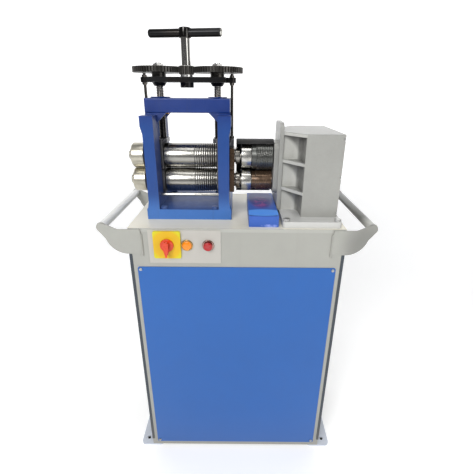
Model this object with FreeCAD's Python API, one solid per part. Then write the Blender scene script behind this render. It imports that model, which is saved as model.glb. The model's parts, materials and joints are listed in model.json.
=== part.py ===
"""Powered jewellers rolling mill on a floor cabinet, built as an assembly of separate pieces.

Frame: +X to the right, +Y to the back, +Z up, millimetres. The origin is on the floor, under the
middle of the cabinet. The roll axes lie in the plane Y = 0.
"""
import FreeCAD
import Part
import math
import os

V = FreeCAD.Vector

# ---------------------------------------------------------------- clearances
RUNNING = 0.05          # radial clearance of a shaft in its bush
SEAT = 0.02             # radial clearance of a pressed or keyed seat
SLIDING = 0.1           # a chock against the window that guides it
FREE = 0.4              # between moving pieces that must not touch
HOLE_PLAY = 0.5         # radial play of a bolt in its hole

# ---------------------------------------------------------------- cabinet
CABINET_WIDTH = 596.0
CABINET_DEPTH = 350.0
DECK_TOP = 850.0        # working height of the deck
DECK_THICK = 10.0
SHEET = 3.0
FLANGE_THICK = 6.0      # foot flanges on the floor
FLANGE_REACH = 43.0     # beyond the cabinet side
FLANGE_UNDER = 40.0     # under the cabinet
FLANGE_CORNER = 15.0
FLOOR_HOLE_R = 6.5
FLOOR_HOLE_INSET_X = 22.0
FLOOR_HOLE_INSET_Y = 25.0
FASCIA_HEIGHT = 116.0   # grey band above the front panel
CORNER_TOP = 74.0       # height of the rounded upper corners, from the deck down
CORNER_R = 6.0
PANEL_SIDE_GAP = 18.0
PANEL_FOOT_GAP = 16.0
PANEL_THICK = 2.0
PANEL_CORNER = 6.0
PANEL_LAP = 14.0        # the panel laps over the rim of its opening
PANEL_SCREW_INSET = 8.0
PANEL_SCREW_R = 2.5
PANEL_SCREW_HEAD_R = 5.0
PANEL_SCREW_HEAD = 2.4
PANEL_SCREW_LENGTH = 9.0
RIM = 24.0              # inward rim of the shell under the deck and at the floor
TRIM_WIDTH = 7.0
TRIM_RETURN = 11.0
TRIM_THICK = 1.6
TRIM_FOOT = 34.0
LOUVRE_COUNT = 7
LOUVRE_PITCH = 26.0
LOUVRE_WIDTH = 190.0
LOUVRE_HEIGHT = 7.0
LOUVRE_TOP = 190.0      # first louvre, below the panel's upper edge

# ---------------------------------------------------------------- push handles
HANDLE_REACH = 68.0     # tube axis beyond the cabinet side
HANDLE_RISE = 3.0       # tube axis above the deck
HANDLE_R = 12.0
HANDLE_WALL = 2.0
BRACKET_THICK = 5.0
BRACKET_FOOT = 36.0     # lap of a bracket on the face of the cabinet
BRACKET_SWEEP_R = 60.0
BRACKET_SWEEP_END = -15.0
BRACKET_ROOT = 72.0     # height of the bracket at the cabinet side
BRACKET_TOP_DROP = 2.0
BRACKET_TOP_RUN = 26.0

# ---------------------------------------------------------------- control plate
CONTROL_INSET = 55.0    # from the left side of the cabinet
CONTROL_WIDTH = 199.0
CONTROL_DROP = 4.0
CONTROL_HEIGHT = 99.0
CONTROL_THICK = 2.0
ISOLATOR_INSET = 52.0   # centres of the switches from the left end of the plate
ISOLATOR_DROP = 46.0    # below the deck
ISOLATOR_WIDTH = 75.0
ISOLATOR_HEIGHT = 80.0
ISOLATOR_THICK = 6.0
ISOLATOR_CORNER = 5.0
KNOB_R = 18.5
KNOB_BASE = 6.0
KNOB_GRIP = 15.0
KNOB_GRIP_WIDTH = 11.0
KNOB_POINTER = 27.0
KNOB_SPINDLE_R = 5.0
LAMP_INSET = 106.0
BUTTON_INSET = 164.0
LAMP_DROP = 48.0
LAMP_R = 13.0
LAMP_DEPTH = 9.0
BEZEL_R = 16.5
BEZEL_DEPTH = 4.0
BUTTON_R = 12.5
BUTTON_DEPTH = 7.0
BUTTON_EDGE = 2.0
BUTTON_TRAVEL = 4.0
BUTTON_STEM_R = 6.0
BLOCK_SIZE = 30.0
BLOCK_DEPTH = 42.0
ISOLATOR_BLOCK = 48.0
BLOCK_BORE_R = 11.0

# ---------------------------------------------------------------- roll stand
MILL_X = -137.0         # middle of the roll stand
MILL_DEPTH_HALF = 102.0
MILL_BASE_HEIGHT = 30.0
BASE_LIP = 7.0          # base beyond a column
AXIS_HEIGHT = 166.0     # upper roll axis above the deck
CHOCK_BACK = 6.5        # chock inside the inner face of its column
COLUMN_THICK = 30.0
COLUMN_RISE = 116.0     # top of the columns above the upper roll axis
HEAD_HEIGHT = 27.0      # thicker head of each column
HEAD_SLOPE = 20.0
HEAD_LIP = 5.0
FOOT_HEIGHT = 22.0      # sloped feet of the columns
FOOT_RUN = 8.0
CROWN = 5.0             # step between the columns and the beam
BEAM_LIP = 1.0
BEAM_HEIGHT = 37.0
BEAM_DEPTH_HALF = 50.0
GUSSET = 26.0
WINDOW_HALF = 40.0      # chock windows in the columns
BEAM_BOSS_R = 27.0
BEAM_BOSS = 3.0
MILL_EDGE = 3.0         # rounding of the cast edges

# ---------------------------------------------------------------- rolls and chocks
ROLL_R = 35.5
ROLL_GAP = 1.0          # between the barrels at rest
BARREL_HALF = 76.0
NECK_R = 20.0
NECK_STEP = 25.0
NECK_STEP_LENGTH = 1.2
PLAIN_END = 20.0        # the plain part ends here, right of the stand's middle
GROOVE_LAND = 4.2       # plain rim beyond the last groove
GROOVE_COUNT = 7
GROOVE_FIRST = 1.1
GROOVE_STEP = 0.32
BUSH_WALL = 5.0
CHOCK_PLAY = 0.3        # between a chock and the step of the neck
CHOCK_GAP = 4.0         # between lower and upper chock at rest
LEDGE_REACH = 14.0      # ledge beyond the middle of the pressure screw
LEDGE_GAP = 2.5         # ledge above the barrel
LEDGE_THICK = 12.0
LEDGE_HALF = 24.0
LUG_LIP = 6.0           # lug beyond the middle of the pull rod
LUG_HALF = 12.0
LUG_LOW = 25.0          # underside of the rod lug, above the roll axis
FEED_BAR_DROP = 30.0    # below the lower roll axis
FEED_BAR_Y = -64.0
FEED_BAR_R = 5.0
FEED_BAR_SEAT = 8.0

# ---------------------------------------------------------------- side rolls
SIDE_ROLL_GAP = 7.0     # beyond the rod lug
SIDE_ROLL_LENGTH = 40.0
SIDE_ROLL_CHAMFER = 4.0
SIDE_SEAT_R = 15.0
SIDE_STUD_R = 13.0
SIDE_NUT_R = 17.0
SIDE_NUT = 8.0
SIDE_STUD = 2.0

# ---------------------------------------------------------------- gap setting gear
SPINDLE_FORWARD = 28.722813   # spindle axis in front of the screws
SCREW_R = 11.0
NUT_R = 16.0
NUT_FLANGE_R = 21.0
NUT_FLANGE = 5.0
GEAR_MODULE = 2.5
GEAR_TEETH = 54
GEAR_PINION_TEETH = 14
GEAR_CLEAR = 11.0       # gears above the bridge
GEAR_THICK = 14.0
GEAR_BORE_R = 9.0
GEAR_HUB_R = 19.0
PINION_CLEAR = 6.0
PINION_THICK = 21.0
SCREW_NUT_R = 14.5
SCREW_NUT = 8.0
SCREW_STUD = 3.0
STUD_CHAMFER = 1.0
BRIDGE_CLEAR = 39.0     # bridge above the beam
BRIDGE_THICK = 13.0
BRIDGE_EAR = 16.0       # from the end of the wide bridge to the rod
BRIDGE_DEPTH = 34.0
BRIDGE_SCREW_BOSS_R = 17.0
BRIDGE_SCREW_BOSS = 9.0
BRIDGE_BOSS_TAPER = 3.0
CENTRE_BOSS_R = 18.0
CENTRE_BOSS = 13.0
SPINDLE_BUSH_R = 16.5
SPINDLE_R = 12.0
SPINDLE_SEAT_R = 9.0
HUB_R = 15.5
HUB_HEIGHT = 24.0
T_BAR_RISE = 102.0      # above the bridge
T_BAR_R = 10.0
T_BAR_LENGTH = 195.0
T_BAR_YAW = -9.0
T_BAR_CHAMFER = 1.5
ROD_R = 4.0
ROD_GAP = 1.0           # between a rod and the beam
ROD_EAR_R = 11.0
ROD_NUT_R = 7.5
ROD_NUT = 6.0
ROD_STUD = 4.0

# ---------------------------------------------------------------- couplings
RING_GAP = 4.0
RING_LENGTH = 29.5
RING_CHAMFER = 1.0
UPPER_RING_R = 36.0
LOWER_RING_R = 32.0
RING_BORE_R = 15.0
COLLAR_GAP = 5.0        # thrust collar beyond the rod lug
COLLAR_LENGTH = 13.0
COLLAR_R = 25.0
SLEEVE_PLAY = 1.0       # between ring and sleeve, and of the ring's face
SLEEVE_LENGTH = 60.5
SLEEVE_COLLAR = 12.0
UPPER_SLEEVE_R = 41.0
SLEEVE_GAP = 1.5        # between the two sleeves
SLEEVE_COLLAR_DROP = 3.0
RIB_LAND = 3.5          # smooth end of the ribbed sleeve
RIB_COUNT = 9
RIB_DEPTH = 1.6
TONGUE_LENGTH = 20.0
TONGUE_HALF_THICK = 6.0
TONGUE_HALF_WIDTH = 12.0
TONGUE_PLAY = 8.0       # lets the upper roll rise while it is driven
SOCKET_DEPTH = 23.0
GUARD_GAP = 6.0         # between sleeve and guard
GUARD_WALL = 2.0
GUARD_INSET = 2.0       # guard's left end beyond that of the thrust collar
GUARD_FRONT = 38.0      # degrees forward of the top
GUARD_BACK = 90.0
GUARD_TAIL = 46.0       # back sheet of the guard below the lower roll axis
GUARD_FACETS = 4
DRIP_INSET = 8.5        # left side before the right face of the ring
DRIP_WIDTH = 82.0
DRIP_FRONT = -159.0
DRIP_BACK = 75.0
DRIP_HEIGHT = 31.0
DRIP_WALL = 2.0

# ---------------------------------------------------------------- gearbox
CAP_GAP = 2.0           # between the sleeves and the cap
CAP_THICK = 12.0
CAP_HALF = 48.0
CAP_LOW = 32.0          # below the lower shaft
CAP_TOP = 44.0          # above the upper shaft
CAP_CORNER = 20.0
FACE_THICK = 11.0
FACE_HALF = 62.0
FACE_RISE = 98.0        # above the upper shaft
FACE_CORNER = 22.0
SNOUT_LENGTH = 50.0     # between the face and the block
CASE_RISE = 76.0        # top of the block above the upper shaft
CASE_WALL = 8.0
CASE_EDGE = 4.0         # rounding of the block's upper edges
BASE_THICK = 18.0
BASE_INSET = 8.0        # base behind the left side of the face
BASE_BEYOND = 7.5       # base beyond the side cover
BASE_HALF = 167.0
BASE_CORNER = 10.0
NECK_HALF = 56.0
NECK_FLARE = 22.0       # hollow rounding where the neck meets the block
CASE_RIB = 9.0
LOW_RIB_DROP = 9.0      # ribs below the shaft axes
MID_RIB_DROP = 3.0
SIDE_COVER_THICK = 8.0
CHAMBER_SHELL = 10.0    # wall on the coupling side
CHAMBER_CLEAR = 7.0     # room under the bull gear
CHAMBER_WALL = 14.0
LID_THICK = 10.0
DRIVE_SHAFT_R = 16.0
DRIVE_BUSH_R = 21.0
DRIVE_BUSH = 14.0
DRIVE_TEETH = 24
DRIVE_FACE = 17.0
FACE_GAP = 2.0          # between gears and the chamber wall
WHEEL_GAP = 4.0         # between wheels that sit side by side
BULL_MODULE = 2.5
BULL_TEETH = 60
BULL_FACE = 16.0
BULL_SEAT_R = 14.0
BULL_HOLES = 5
END_JOURNAL_R = 11.0
END_BUSH_R = 16.0
INPUT_TEETH = 16
INPUT_ANGLE = 45.0      # the input shaft seen from the lower shaft, above the back
INPUT_SHAFT_R = 10.0
INPUT_BUSH_R = 14.0
INPUT_BUSH = 7.0
PULLEY_WIDTH = 18.0
INPUT_PULLEY_R = 48.0   # both pulley radii are at the middle of the belt
MOTOR_PULLEY_R = 24.0
BELT_TOP_WIDTH = 12.0
BELT_LOW_WIDTH = 8.0
BELT_HEIGHT = 7.0
BELT_PLAY = 0.4
PULLEY_GAP = 1.325      # between the input pulley and the case
COVER_GAP = 7.5         # between the pulley and the side cover
COVER_SCREW_R = 3.0
COVER_SCREW_HEAD_R = 5.5
COVER_SCREW_HEAD = 4.0
COVER_SCREW_LENGTH = 15.0
COVER_SCREW_INSET = 12.0
BED_BOLT_R = 5.0
BED_BOLT_HEAD_R = 9.5
BED_BOLT_HEAD = 7.0
BED_BOLT_GRIP = 10.0
BED_BOLT_INSET = 11.0

# ---------------------------------------------------------------- motor
MOTOR_HEIGHT = 86.0     # axis above the shelf
SHELF_TOP = 484.0
SHELF_THICK = 4.0
SHELF_LIP = 25.0
SHELF_FRONT = -70.0
MOTOR_LENGTH = 190.0
MOTOR_R = 58.0
FIN_COUNT = 20
FIN_HEIGHT = 6.0
FIN_THICK = 2.5
FIN_LENGTH = 130.0
FIN_ROOT = 2.0          # depth of a fin inside the body
COWL_LENGTH = 44.0
COWL_R = 62.0
COWL_WALL = 1.5
HEAD_LENGTH = 66.0
HEAD_GAP = 18.0         # between reducer and pulley
HEAD_HALF = 60.0
HEAD_EDGE = 8.0
MOTOR_FOOT_WIDTH = 150.0
MOTOR_FOOT_THICK = 10.0
MOTOR_FOOT_LENGTH = 40.0
MOTOR_SHAFT_R = 9.0
MOTOR_SHAFT_DEEP = 40.0

# ---------------------------------------------------------------- sizes that follow
SIDE = CABINET_WIDTH / 2.0
FRONT = -CABINET_DEPTH / 2.0
BACK = CABINET_DEPTH / 2.0
SHELL_TOP = DECK_TOP - DECK_THICK
PANEL_TOP = DECK_TOP - FASCIA_HEIGHT
PANEL_LOW = FLANGE_THICK + PANEL_FOOT_GAP
PANEL_HALF = SIDE - PANEL_SIDE_GAP
CORNER_LOW = DECK_TOP - CORNER_TOP
HANDLE_X = SIDE + HANDLE_REACH
HANDLE_Z = DECK_TOP + HANDLE_RISE
CONTROL_LEFT = CONTROL_INSET - SIDE
ISOLATOR_X = CONTROL_LEFT + ISOLATOR_INSET
ISOLATOR_Z = DECK_TOP - ISOLATOR_DROP
LAMP_X = CONTROL_LEFT + LAMP_INSET
LAMP_Z = DECK_TOP - LAMP_DROP
BUTTON_X = CONTROL_LEFT + BUTTON_INSET
FRONT_FACE = FRONT - CONTROL_THICK
# heights of the roll stand
BASE_TOP = DECK_TOP + MILL_BASE_HEIGHT
ROLL_PITCH = 2.0 * ROLL_R + ROLL_GAP
UPPER_Z = DECK_TOP + AXIS_HEIGHT
LOWER_Z = UPPER_Z - ROLL_PITCH
CHOCK_LOW = (ROLL_PITCH - CHOCK_GAP) / 2.0
CHOCK_UPPER_TOP = ROLL_R + LEDGE_GAP + LEDGE_THICK
FEED_BAR_Z = LOWER_Z - FEED_BAR_DROP
COLUMN_TOP = UPPER_Z + COLUMN_RISE
BEAM_BOTTOM = COLUMN_TOP + CROWN
BEAM_TOP = BEAM_BOTTOM + BEAM_HEIGHT
BRIDGE_LOW = BEAM_TOP + BRIDGE_CLEAR
BRIDGE_TOP = BRIDGE_LOW + BRIDGE_THICK
GEAR_LOW = BRIDGE_TOP + GEAR_CLEAR
PINION_LOW = BRIDGE_TOP + PINION_CLEAR
T_BAR_Z = BRIDGE_TOP + T_BAR_RISE
# gears that set the gap
GEAR_PITCH_R = GEAR_MODULE * GEAR_TEETH / 2.0
GEAR_PINION_R = GEAR_MODULE * GEAR_PINION_TEETH / 2.0
SPINDLE_Y = -SPINDLE_FORWARD
SCREW_OFFSET = math.sqrt((GEAR_PITCH_R + GEAR_PINION_R) ** 2 - SPINDLE_FORWARD ** 2)
# the stand from its middle outwards
BUSH_R = NECK_R + RUNNING + BUSH_WALL
GROOVE_PITCH = (BARREL_HALF - PLAIN_END - GROOVE_LAND) / GROOVE_COUNT
CHOCK_INNER = BARREL_HALF + NECK_STEP_LENGTH + CHOCK_PLAY
LEDGE_INNER = SCREW_OFFSET - LEDGE_REACH
COLUMN_INNER = CHOCK_INNER + CHOCK_BACK
COLUMN_OUTER = COLUMN_INNER + COLUMN_THICK
HEAD_OUTER = COLUMN_OUTER + HEAD_LIP
BEAM_HALF = COLUMN_OUTER + BEAM_LIP
MILL_BASE_HALF = COLUMN_OUTER + BASE_LIP
ROD_OFFSET = BEAM_HALF + ROD_GAP + ROD_R
BRIDGE_HALF = ROD_OFFSET - BRIDGE_EAR
LUG_OUTER = ROD_OFFSET + LUG_LIP
SIDE_ROLL_INNER = LUG_OUTER + SIDE_ROLL_GAP
# the drive line from left to right
COLLAR_LEFT = MILL_X + LUG_OUTER + COLLAR_GAP
COLLAR_RIGHT = COLLAR_LEFT + COLLAR_LENGTH
GUARD_LEFT = COLLAR_LEFT + GUARD_INSET
RING_LEFT = COLLAR_RIGHT + RING_GAP
RING_RIGHT = RING_LEFT + RING_LENGTH
SLEEVE_LEFT = RING_RIGHT + SLEEVE_PLAY
SLEEVE_RIGHT = SLEEVE_LEFT + SLEEVE_LENGTH
RIB_PITCH = (SLEEVE_LENGTH - SLEEVE_COLLAR - RIB_LAND) / RIB_COUNT
LOWER_SLEEVE_R = ROLL_PITCH - UPPER_SLEEVE_R - SLEEVE_GAP
GUARD_R = UPPER_SLEEVE_R + GUARD_GAP + GUARD_WALL
DRIP_LEFT = RING_RIGHT - DRIP_INSET
DRIP_RIGHT = DRIP_LEFT + DRIP_WIDTH
CAP_LEFT = SLEEVE_RIGHT + CAP_GAP
FACE_LEFT = CAP_LEFT + CAP_THICK
FACE_RIGHT = FACE_LEFT + FACE_THICK
BLOCK_LEFT = FACE_RIGHT + SNOUT_LENGTH
CHAMBER_LEFT = BLOCK_LEFT + CHAMBER_SHELL
INPUT_BUSH_LEFT = CHAMBER_LEFT - INPUT_BUSH
DRIVE_LEFT = CHAMBER_LEFT + FACE_GAP
BULL_LEFT = DRIVE_LEFT + DRIVE_FACE + WHEEL_GAP
LID_LEFT = BULL_LEFT + BULL_FACE + WHEEL_GAP
LID_RIGHT = LID_LEFT + LID_THICK
PULLEY_LEFT = LID_RIGHT + WHEEL_GAP
CASE_RIGHT = PULLEY_LEFT + PULLEY_WIDTH + COVER_GAP
BASE_LEFT = FACE_LEFT + BASE_INSET
BASE_RIGHT = CASE_RIGHT + SIDE_COVER_THICK + BASE_BEYOND
# gearbox gears
DRIVE_MODULE = ROLL_PITCH / DRIVE_TEETH
BULL_PITCH_R = BULL_MODULE * BULL_TEETH / 2.0
INPUT_PITCH_R = BULL_MODULE * INPUT_TEETH / 2.0
INPUT_DISTANCE = BULL_PITCH_R + INPUT_PITCH_R
INPUT_Y = INPUT_DISTANCE * math.cos(math.radians(INPUT_ANGLE))
INPUT_Z = LOWER_Z + INPUT_DISTANCE * math.sin(math.radians(INPUT_ANGLE))
# gearbox heights and depth
CASE_BASE_TOP = DECK_TOP + BASE_THICK
CASE_TOP = UPPER_Z + CASE_RISE
FACE_TOP = UPPER_Z + FACE_RISE
CASE_HALF = INPUT_Y + INPUT_PULLEY_R + BELT_HEIGHT / 2.0 + PULLEY_GAP + CASE_WALL
CASE_RIB_HEIGHTS = (LOWER_Z - LOW_RIB_DROP, UPPER_Z - MID_RIB_DROP, CASE_TOP - CASE_RIB / 2.0)
CHAMBER_FLOOR = LOWER_Z - BULL_PITCH_R - CHAMBER_CLEAR
# motor
MOTOR_AXIS_Z = SHELF_TOP + MOTOR_HEIGHT
HEAD_RIGHT = PULLEY_LEFT - HEAD_GAP
MOTOR_RIGHT = HEAD_RIGHT - HEAD_LENGTH
MOTOR_LEFT = MOTOR_RIGHT - MOTOR_LENGTH
SCREW_XS = (MILL_X - SCREW_OFFSET, MILL_X + SCREW_OFFSET)
SIDES = (-1, 1)

# tooth proportions, in modules
STUB_ADDENDUM = 0.8
FULL_ADDENDUM = 1.0
ROOT_CLEARANCE = 0.25
ROOT_BLEND = 0.1
PRESSURE_ANGLE = math.radians(20.0)
HEX_CORNERS = 6
BACKLASH = 0.16         # taken off each tooth, in mm at the pitch line


# ---------------------------------------------------------------- basic shapes
def box(x_low, x_high, y_low, y_high, z_low, z_high):
    """Box between two corners."""
    return Part.makeBox(x_high - x_low, y_high - y_low, z_high - z_low, V(x_low, y_low, z_low))


def mid_box(x_low, x_high, y_half, z_low, z_high):
    """Box that is centred on Y = 0."""
    return box(x_low, x_high, -y_half, y_half, z_low, z_high)


def x_rod(radius, x_low, x_high, y, z):
    """Round bar along X."""
    return Part.makeCylinder(radius, x_high - x_low, V(x_low, y, z), V(1, 0, 0))


def y_rod(radius, y_low, y_high, x, z):
    """Round bar along Y."""
    return Part.makeCylinder(radius, y_high - y_low, V(x, y_low, z), V(0, 1, 0))


def z_rod(radius, z_low, z_high, x, y):
    """Round bar along Z."""
    return Part.makeCylinder(radius, z_high - z_low, V(x, y, z_low), V(0, 0, 1))


def fuse(shapes):
    """One solid from touching or crossing shapes."""
    result = shapes[0]
    if len(shapes) > 1:
        result = result.multiFuse(shapes[1:])
    return result.removeSplitter()


def group(shapes):
    """Separate solids kept in one node."""
    return Part.makeCompound(shapes)


def along(edge, direction):
    """True for a straight edge that runs along a unit direction."""
    if not isinstance(edge.Curve, Part.Line):
        return False
    return abs(abs(edge.tangentAt(edge.FirstParameter).dot(direction)) - 1.0) < 1e-6


def circles(shape):
    """The round edges of a shape."""
    return [edge for edge in shape.Edges if isinstance(edge.Curve, Part.Circle)]


def rounded(shape, radius, direction):
    """Fillet every straight edge along a direction."""
    edges = [edge for edge in shape.Edges if along(edge, direction)]
    return shape.makeFillet(radius, edges)


def hexagon(radius, low, high, centre, direction):
    """Hexagonal nut or bolt head, from low to high along a unit direction; radius is at its corners."""
    side_way = V(0, 1, 0) if abs(direction.y) < 0.5 else V(1, 0, 0)
    up_way = direction.cross(side_way)
    start = centre + direction * low
    points = []
    for corner in range(HEX_CORNERS + 1):
        angle = 2.0 * math.pi * corner / HEX_CORNERS
        points.append(start + side_way * (radius * math.cos(angle)) + up_way * (radius * math.sin(angle)))
    return Part.Face(Part.makePolygon(points)).extrude(direction * (high - low))


def turned_x(profile, y, z):
    """Turned piece about an X axis; profile is a list of (x, radius)."""
    points = [V(x, y, z + radius) for x, radius in profile]
    points = [V(profile[0][0], y, z)] + points + [V(profile[-1][0], y, z)]
    face = Part.Face(Part.makePolygon(points + [points[0]]))
    return face.revolve(V(0, y, z), V(1, 0, 0), 360)


def turned_z(profile, x, y):
    """Turned piece about a Z axis; profile is a list of (radius, z) from low to high."""
    points = [V(x + radius, y, z) for radius, z in profile]
    points = [V(x, y, profile[0][1])] + points + [V(x, y, profile[-1][1])]
    face = Part.Face(Part.makePolygon(points + [points[0]]))
    return face.revolve(V(x, y, 0), V(0, 0, 1), 360)


def bolt(radius, head_r, head, length, seat, direction):
    """Hexagon bolt; seat is the point under its head, direction points out of the head."""
    shank = Part.makeCylinder(radius, length, seat - direction * length, direction)
    return fuse([shank, hexagon(head_r, 0.0, head, seat, direction)])


def screw(radius, head_r, head, length, seat, direction):
    """Round headed screw with a domed head and a cross slot."""
    shank = Part.makeCylinder(radius, length, seat - direction * length, direction)
    top = Part.makeCone(head_r, head_r - head / 2.0, head, seat, direction)
    slot = Part.makeCylinder(head_r / 4.0, head / 2.0, seat + direction * (head / 2.0), direction)
    return shank.fuse(top).removeSplitter().cut(slot)


def gear(teeth, module, addendum, width, phase, bore_r):
    """Spur gear about Z, from Z = 0 to width, with a tooth centred at the phase angle."""
    pitch_r = teeth * module / 2.0
    base_r = pitch_r * math.cos(PRESSURE_ANGLE)
    tip_r = pitch_r + addendum * module
    root_r = pitch_r - (addendum + ROOT_CLEARANCE) * module
    involute_at_pitch = math.tan(PRESSURE_ANGLE) - PRESSURE_ANGLE
    half_at_pitch = math.pi / (2.0 * teeth) - BACKLASH / (2.0 * pitch_r)

    def half_angle(radius):
        """Half of the tooth's angle at a radius, on the involute through the pitch point."""
        pressure = math.acos(min(1.0, base_r / radius))
        return half_at_pitch + involute_at_pitch - (math.tan(pressure) - pressure)

    low_r = max(base_r, root_r)
    blend_r = low_r + ROOT_BLEND * module
    flank = [(root_r, half_angle(low_r)), (blend_r, half_angle(blend_r))]
    flank += [(pitch_r, half_at_pitch), (tip_r, half_angle(tip_r))]
    points = []
    for tooth in range(teeth):
        centre = phase + 2.0 * math.pi * tooth / teeth
        outline = [(radius, centre - half) for radius, half in flank]
        outline += [(radius, centre + half) for radius, half in reversed(flank)]
        points += [V(radius * math.cos(angle), radius * math.sin(angle), 0) for radius, angle in outline]
    body = Part.Face(Part.makePolygon(points + [points[0]])).extrude(V(0, 0, width))
    return body.cut(z_rod(bore_r, -width, 2.0 * width, 0, 0))


def gear_on_x(teeth, module, width, phase, bore_r, x, y, z):
    """Spur gear about an X axis; its phase is measured from +Y towards +Z."""
    shape = gear(teeth, module, FULL_ADDENDUM, width, phase, bore_r)
    shape.Placement = FreeCAD.Placement(V(x, y, z), FreeCAD.Rotation(V(1, 1, 1), 120))
    return shape


def meshed_phase(direction, phase, teeth, other_teeth):
    """Phase of the gear that meshes with a first gear; direction is the angle from first to second."""
    turn = (direction - phase) * teeth / other_teeth
    return direction + math.pi + turn + math.pi / other_teeth


# ---------------------------------------------------------------- cabinet
def shell_block(inset):
    """Outer block of the cabinet, shrunk on the sides: sharp below, round cornered at the top."""
    low = box(-SIDE + inset, SIDE - inset, FRONT + inset, BACK - inset, FLANGE_THICK, CORNER_LOW)
    top = box(-SIDE + inset, SIDE - inset, FRONT + inset, BACK - inset, CORNER_LOW, SHELL_TOP)
    top = rounded(top, CORNER_R - inset, V(0, 0, 1))
    return low.fuse(top)


def panel_opening(y_low, y_high):
    """Space behind a front or rear panel."""
    return box(-PANEL_HALF + PANEL_LAP, PANEL_HALF - PANEL_LAP, y_low, y_high,
               PANEL_LOW + PANEL_LAP, PANEL_TOP - PANEL_LAP)


def panel_screw_places():
    """X and Z of the four corner screws of a panel."""
    x = PANEL_HALF - PANEL_SCREW_INSET
    levels = (PANEL_LOW + PANEL_SCREW_INSET, PANEL_TOP - PANEL_SCREW_INSET)
    return [(side * x, z) for side in SIDES for z in levels]


def panel_screw_holes(y_low, y_high):
    """Holes for the corner screws of a panel."""
    return [y_rod(PANEL_SCREW_R + SEAT, y_low, y_high, x, z) for x, z in panel_screw_places()]


def block_places():
    """X, Z and half size of the switch blocks behind the control plate."""
    return [(ISOLATOR_X, ISOLATOR_Z, ISOLATOR_BLOCK / 2.0), (LAMP_X, LAMP_Z, BLOCK_SIZE / 2.0),
            (BUTTON_X, LAMP_Z, BLOCK_SIZE / 2.0)]


def cabinet_shell():
    """Folded and welded sheet shell with a rim above and below."""
    shell = shell_block(0.0).cut(shell_block(SHEET))
    for z_low in (FLANGE_THICK, SHELL_TOP - SHEET):
        rim = box(-SIDE + SHEET, SIDE - SHEET, FRONT + SHEET, BACK - SHEET, z_low, z_low + SHEET)
        opening = box(-SIDE + RIM, SIDE - RIM, FRONT + RIM, BACK - RIM, z_low - SHEET, z_low + 2 * SHEET)
        corners = rounded(rim, CORNER_R - SHEET, V(0, 0, 1))
        shell = shell.fuse(corners.cut(opening))
    tools = [panel_opening(FRONT - SHEET, FRONT + 2 * SHEET), panel_opening(BACK - 2 * SHEET, BACK + SHEET)]
    tools += panel_screw_holes(FRONT - SHEET, FRONT + 2 * SHEET)
    tools += panel_screw_holes(BACK - 2 * SHEET, BACK + SHEET)
    for x, z, half in block_places():
        tools.append(box(x - half - FREE, x + half + FREE, FRONT - SHEET, FRONT + 2 * SHEET,
                         z - half - FREE, z + half + FREE))
    return shell.cut(Part.makeCompound(tools)).removeSplitter()


def belt_slot(z_low, z_high):
    """Slot that lets the belt through the deck and the gearbox base."""
    half = INPUT_PULLEY_R + BELT_HEIGHT
    return box(LID_RIGHT, CASE_RIGHT, INPUT_Y - half, INPUT_Y + half, z_low, z_high)


def mill_bolt_places():
    """X and Y of the four bolts in the floor of the roll stand."""
    x = COLUMN_INNER - BED_BOLT_INSET
    y = MILL_DEPTH_HALF - BED_BOLT_INSET
    return [(MILL_X + side * x, end * y) for side in SIDES for end in SIDES]


def base_bolt_places():
    """X and Y of the four bolts in the gearbox base."""
    y = BASE_HALF - BED_BOLT_INSET
    return [(x, end * y) for x in (BASE_LEFT + BED_BOLT_INSET, BASE_RIGHT - BED_BOLT_INSET) for end in SIDES]


def deck_plate():
    """Thick top plate with bolt holes and the belt slot."""
    plate = box(-SIDE, SIDE, FRONT, BACK, SHELL_TOP, DECK_TOP)
    plate = rounded(plate, CORNER_R, V(0, 0, 1))
    tools = [belt_slot(SHELL_TOP - SHEET, DECK_TOP + SHEET)]
    for x, y in mill_bolt_places() + base_bolt_places():
        tools.append(z_rod(BED_BOLT_R + SEAT, SHELL_TOP - SHEET, DECK_TOP + SHEET, x, y))
    return plate.cut(Part.makeCompound(tools))


def panel(y_low, y_high):
    """Flat sheet panel with rounded corners and screw holes."""
    sheet = box(-PANEL_HALF, PANEL_HALF, y_low, y_high, PANEL_LOW, PANEL_TOP)
    sheet = rounded(sheet, PANEL_CORNER, V(0, 1, 0))
    return sheet.cut(Part.makeCompound(panel_screw_holes(y_low - SHEET, y_high + SHEET)))


def front_panel():
    """Blue panel on the front."""
    return panel(FRONT - PANEL_THICK, FRONT)


def rear_panel():
    """Access panel on the back with cooling slots."""
    slots = []
    for row in range(LOUVRE_COUNT):
        z = PANEL_TOP - LOUVRE_TOP - row * LOUVRE_PITCH
        slot = box(-LOUVRE_WIDTH / 2.0, LOUVRE_WIDTH / 2.0, BACK - SHEET, BACK + 2 * SHEET,
                   z - LOUVRE_HEIGHT, z)
        slots.append(rounded(slot, LOUVRE_HEIGHT / 2.0 - SEAT, V(0, 1, 0)))
    return panel(BACK, BACK + PANEL_THICK).cut(Part.makeCompound(slots))


def panel_screws():
    """Eight screws that hold the two panels."""
    screws = []
    for x, z in panel_screw_places():
        for face, way in ((FRONT - PANEL_THICK, -1), (BACK + PANEL_THICK, 1)):
            screws.append(screw(PANEL_SCREW_R, PANEL_SCREW_HEAD_R, PANEL_SCREW_HEAD, PANEL_SCREW_LENGTH,
                                V(x, face, z), V(0, way, 0)))
    return group(screws)


def edge_trims():
    """Dark L strips on the two front corners, below the rounded corners."""
    trims = []
    for side in SIDES:
        outer = side * (SIDE + TRIM_THICK)
        inner = side * (SIDE - TRIM_WIDTH)
        leg = box(min(outer, inner), max(outer, inner), FRONT - TRIM_THICK, FRONT, TRIM_FOOT, CORNER_LOW)
        wing = box(min(outer, side * SIDE), max(outer, side * SIDE), FRONT - TRIM_THICK, FRONT + TRIM_RETURN,
                   TRIM_FOOT, CORNER_LOW)
        trims.append(fuse([leg, wing]))
    return group(trims)


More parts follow.
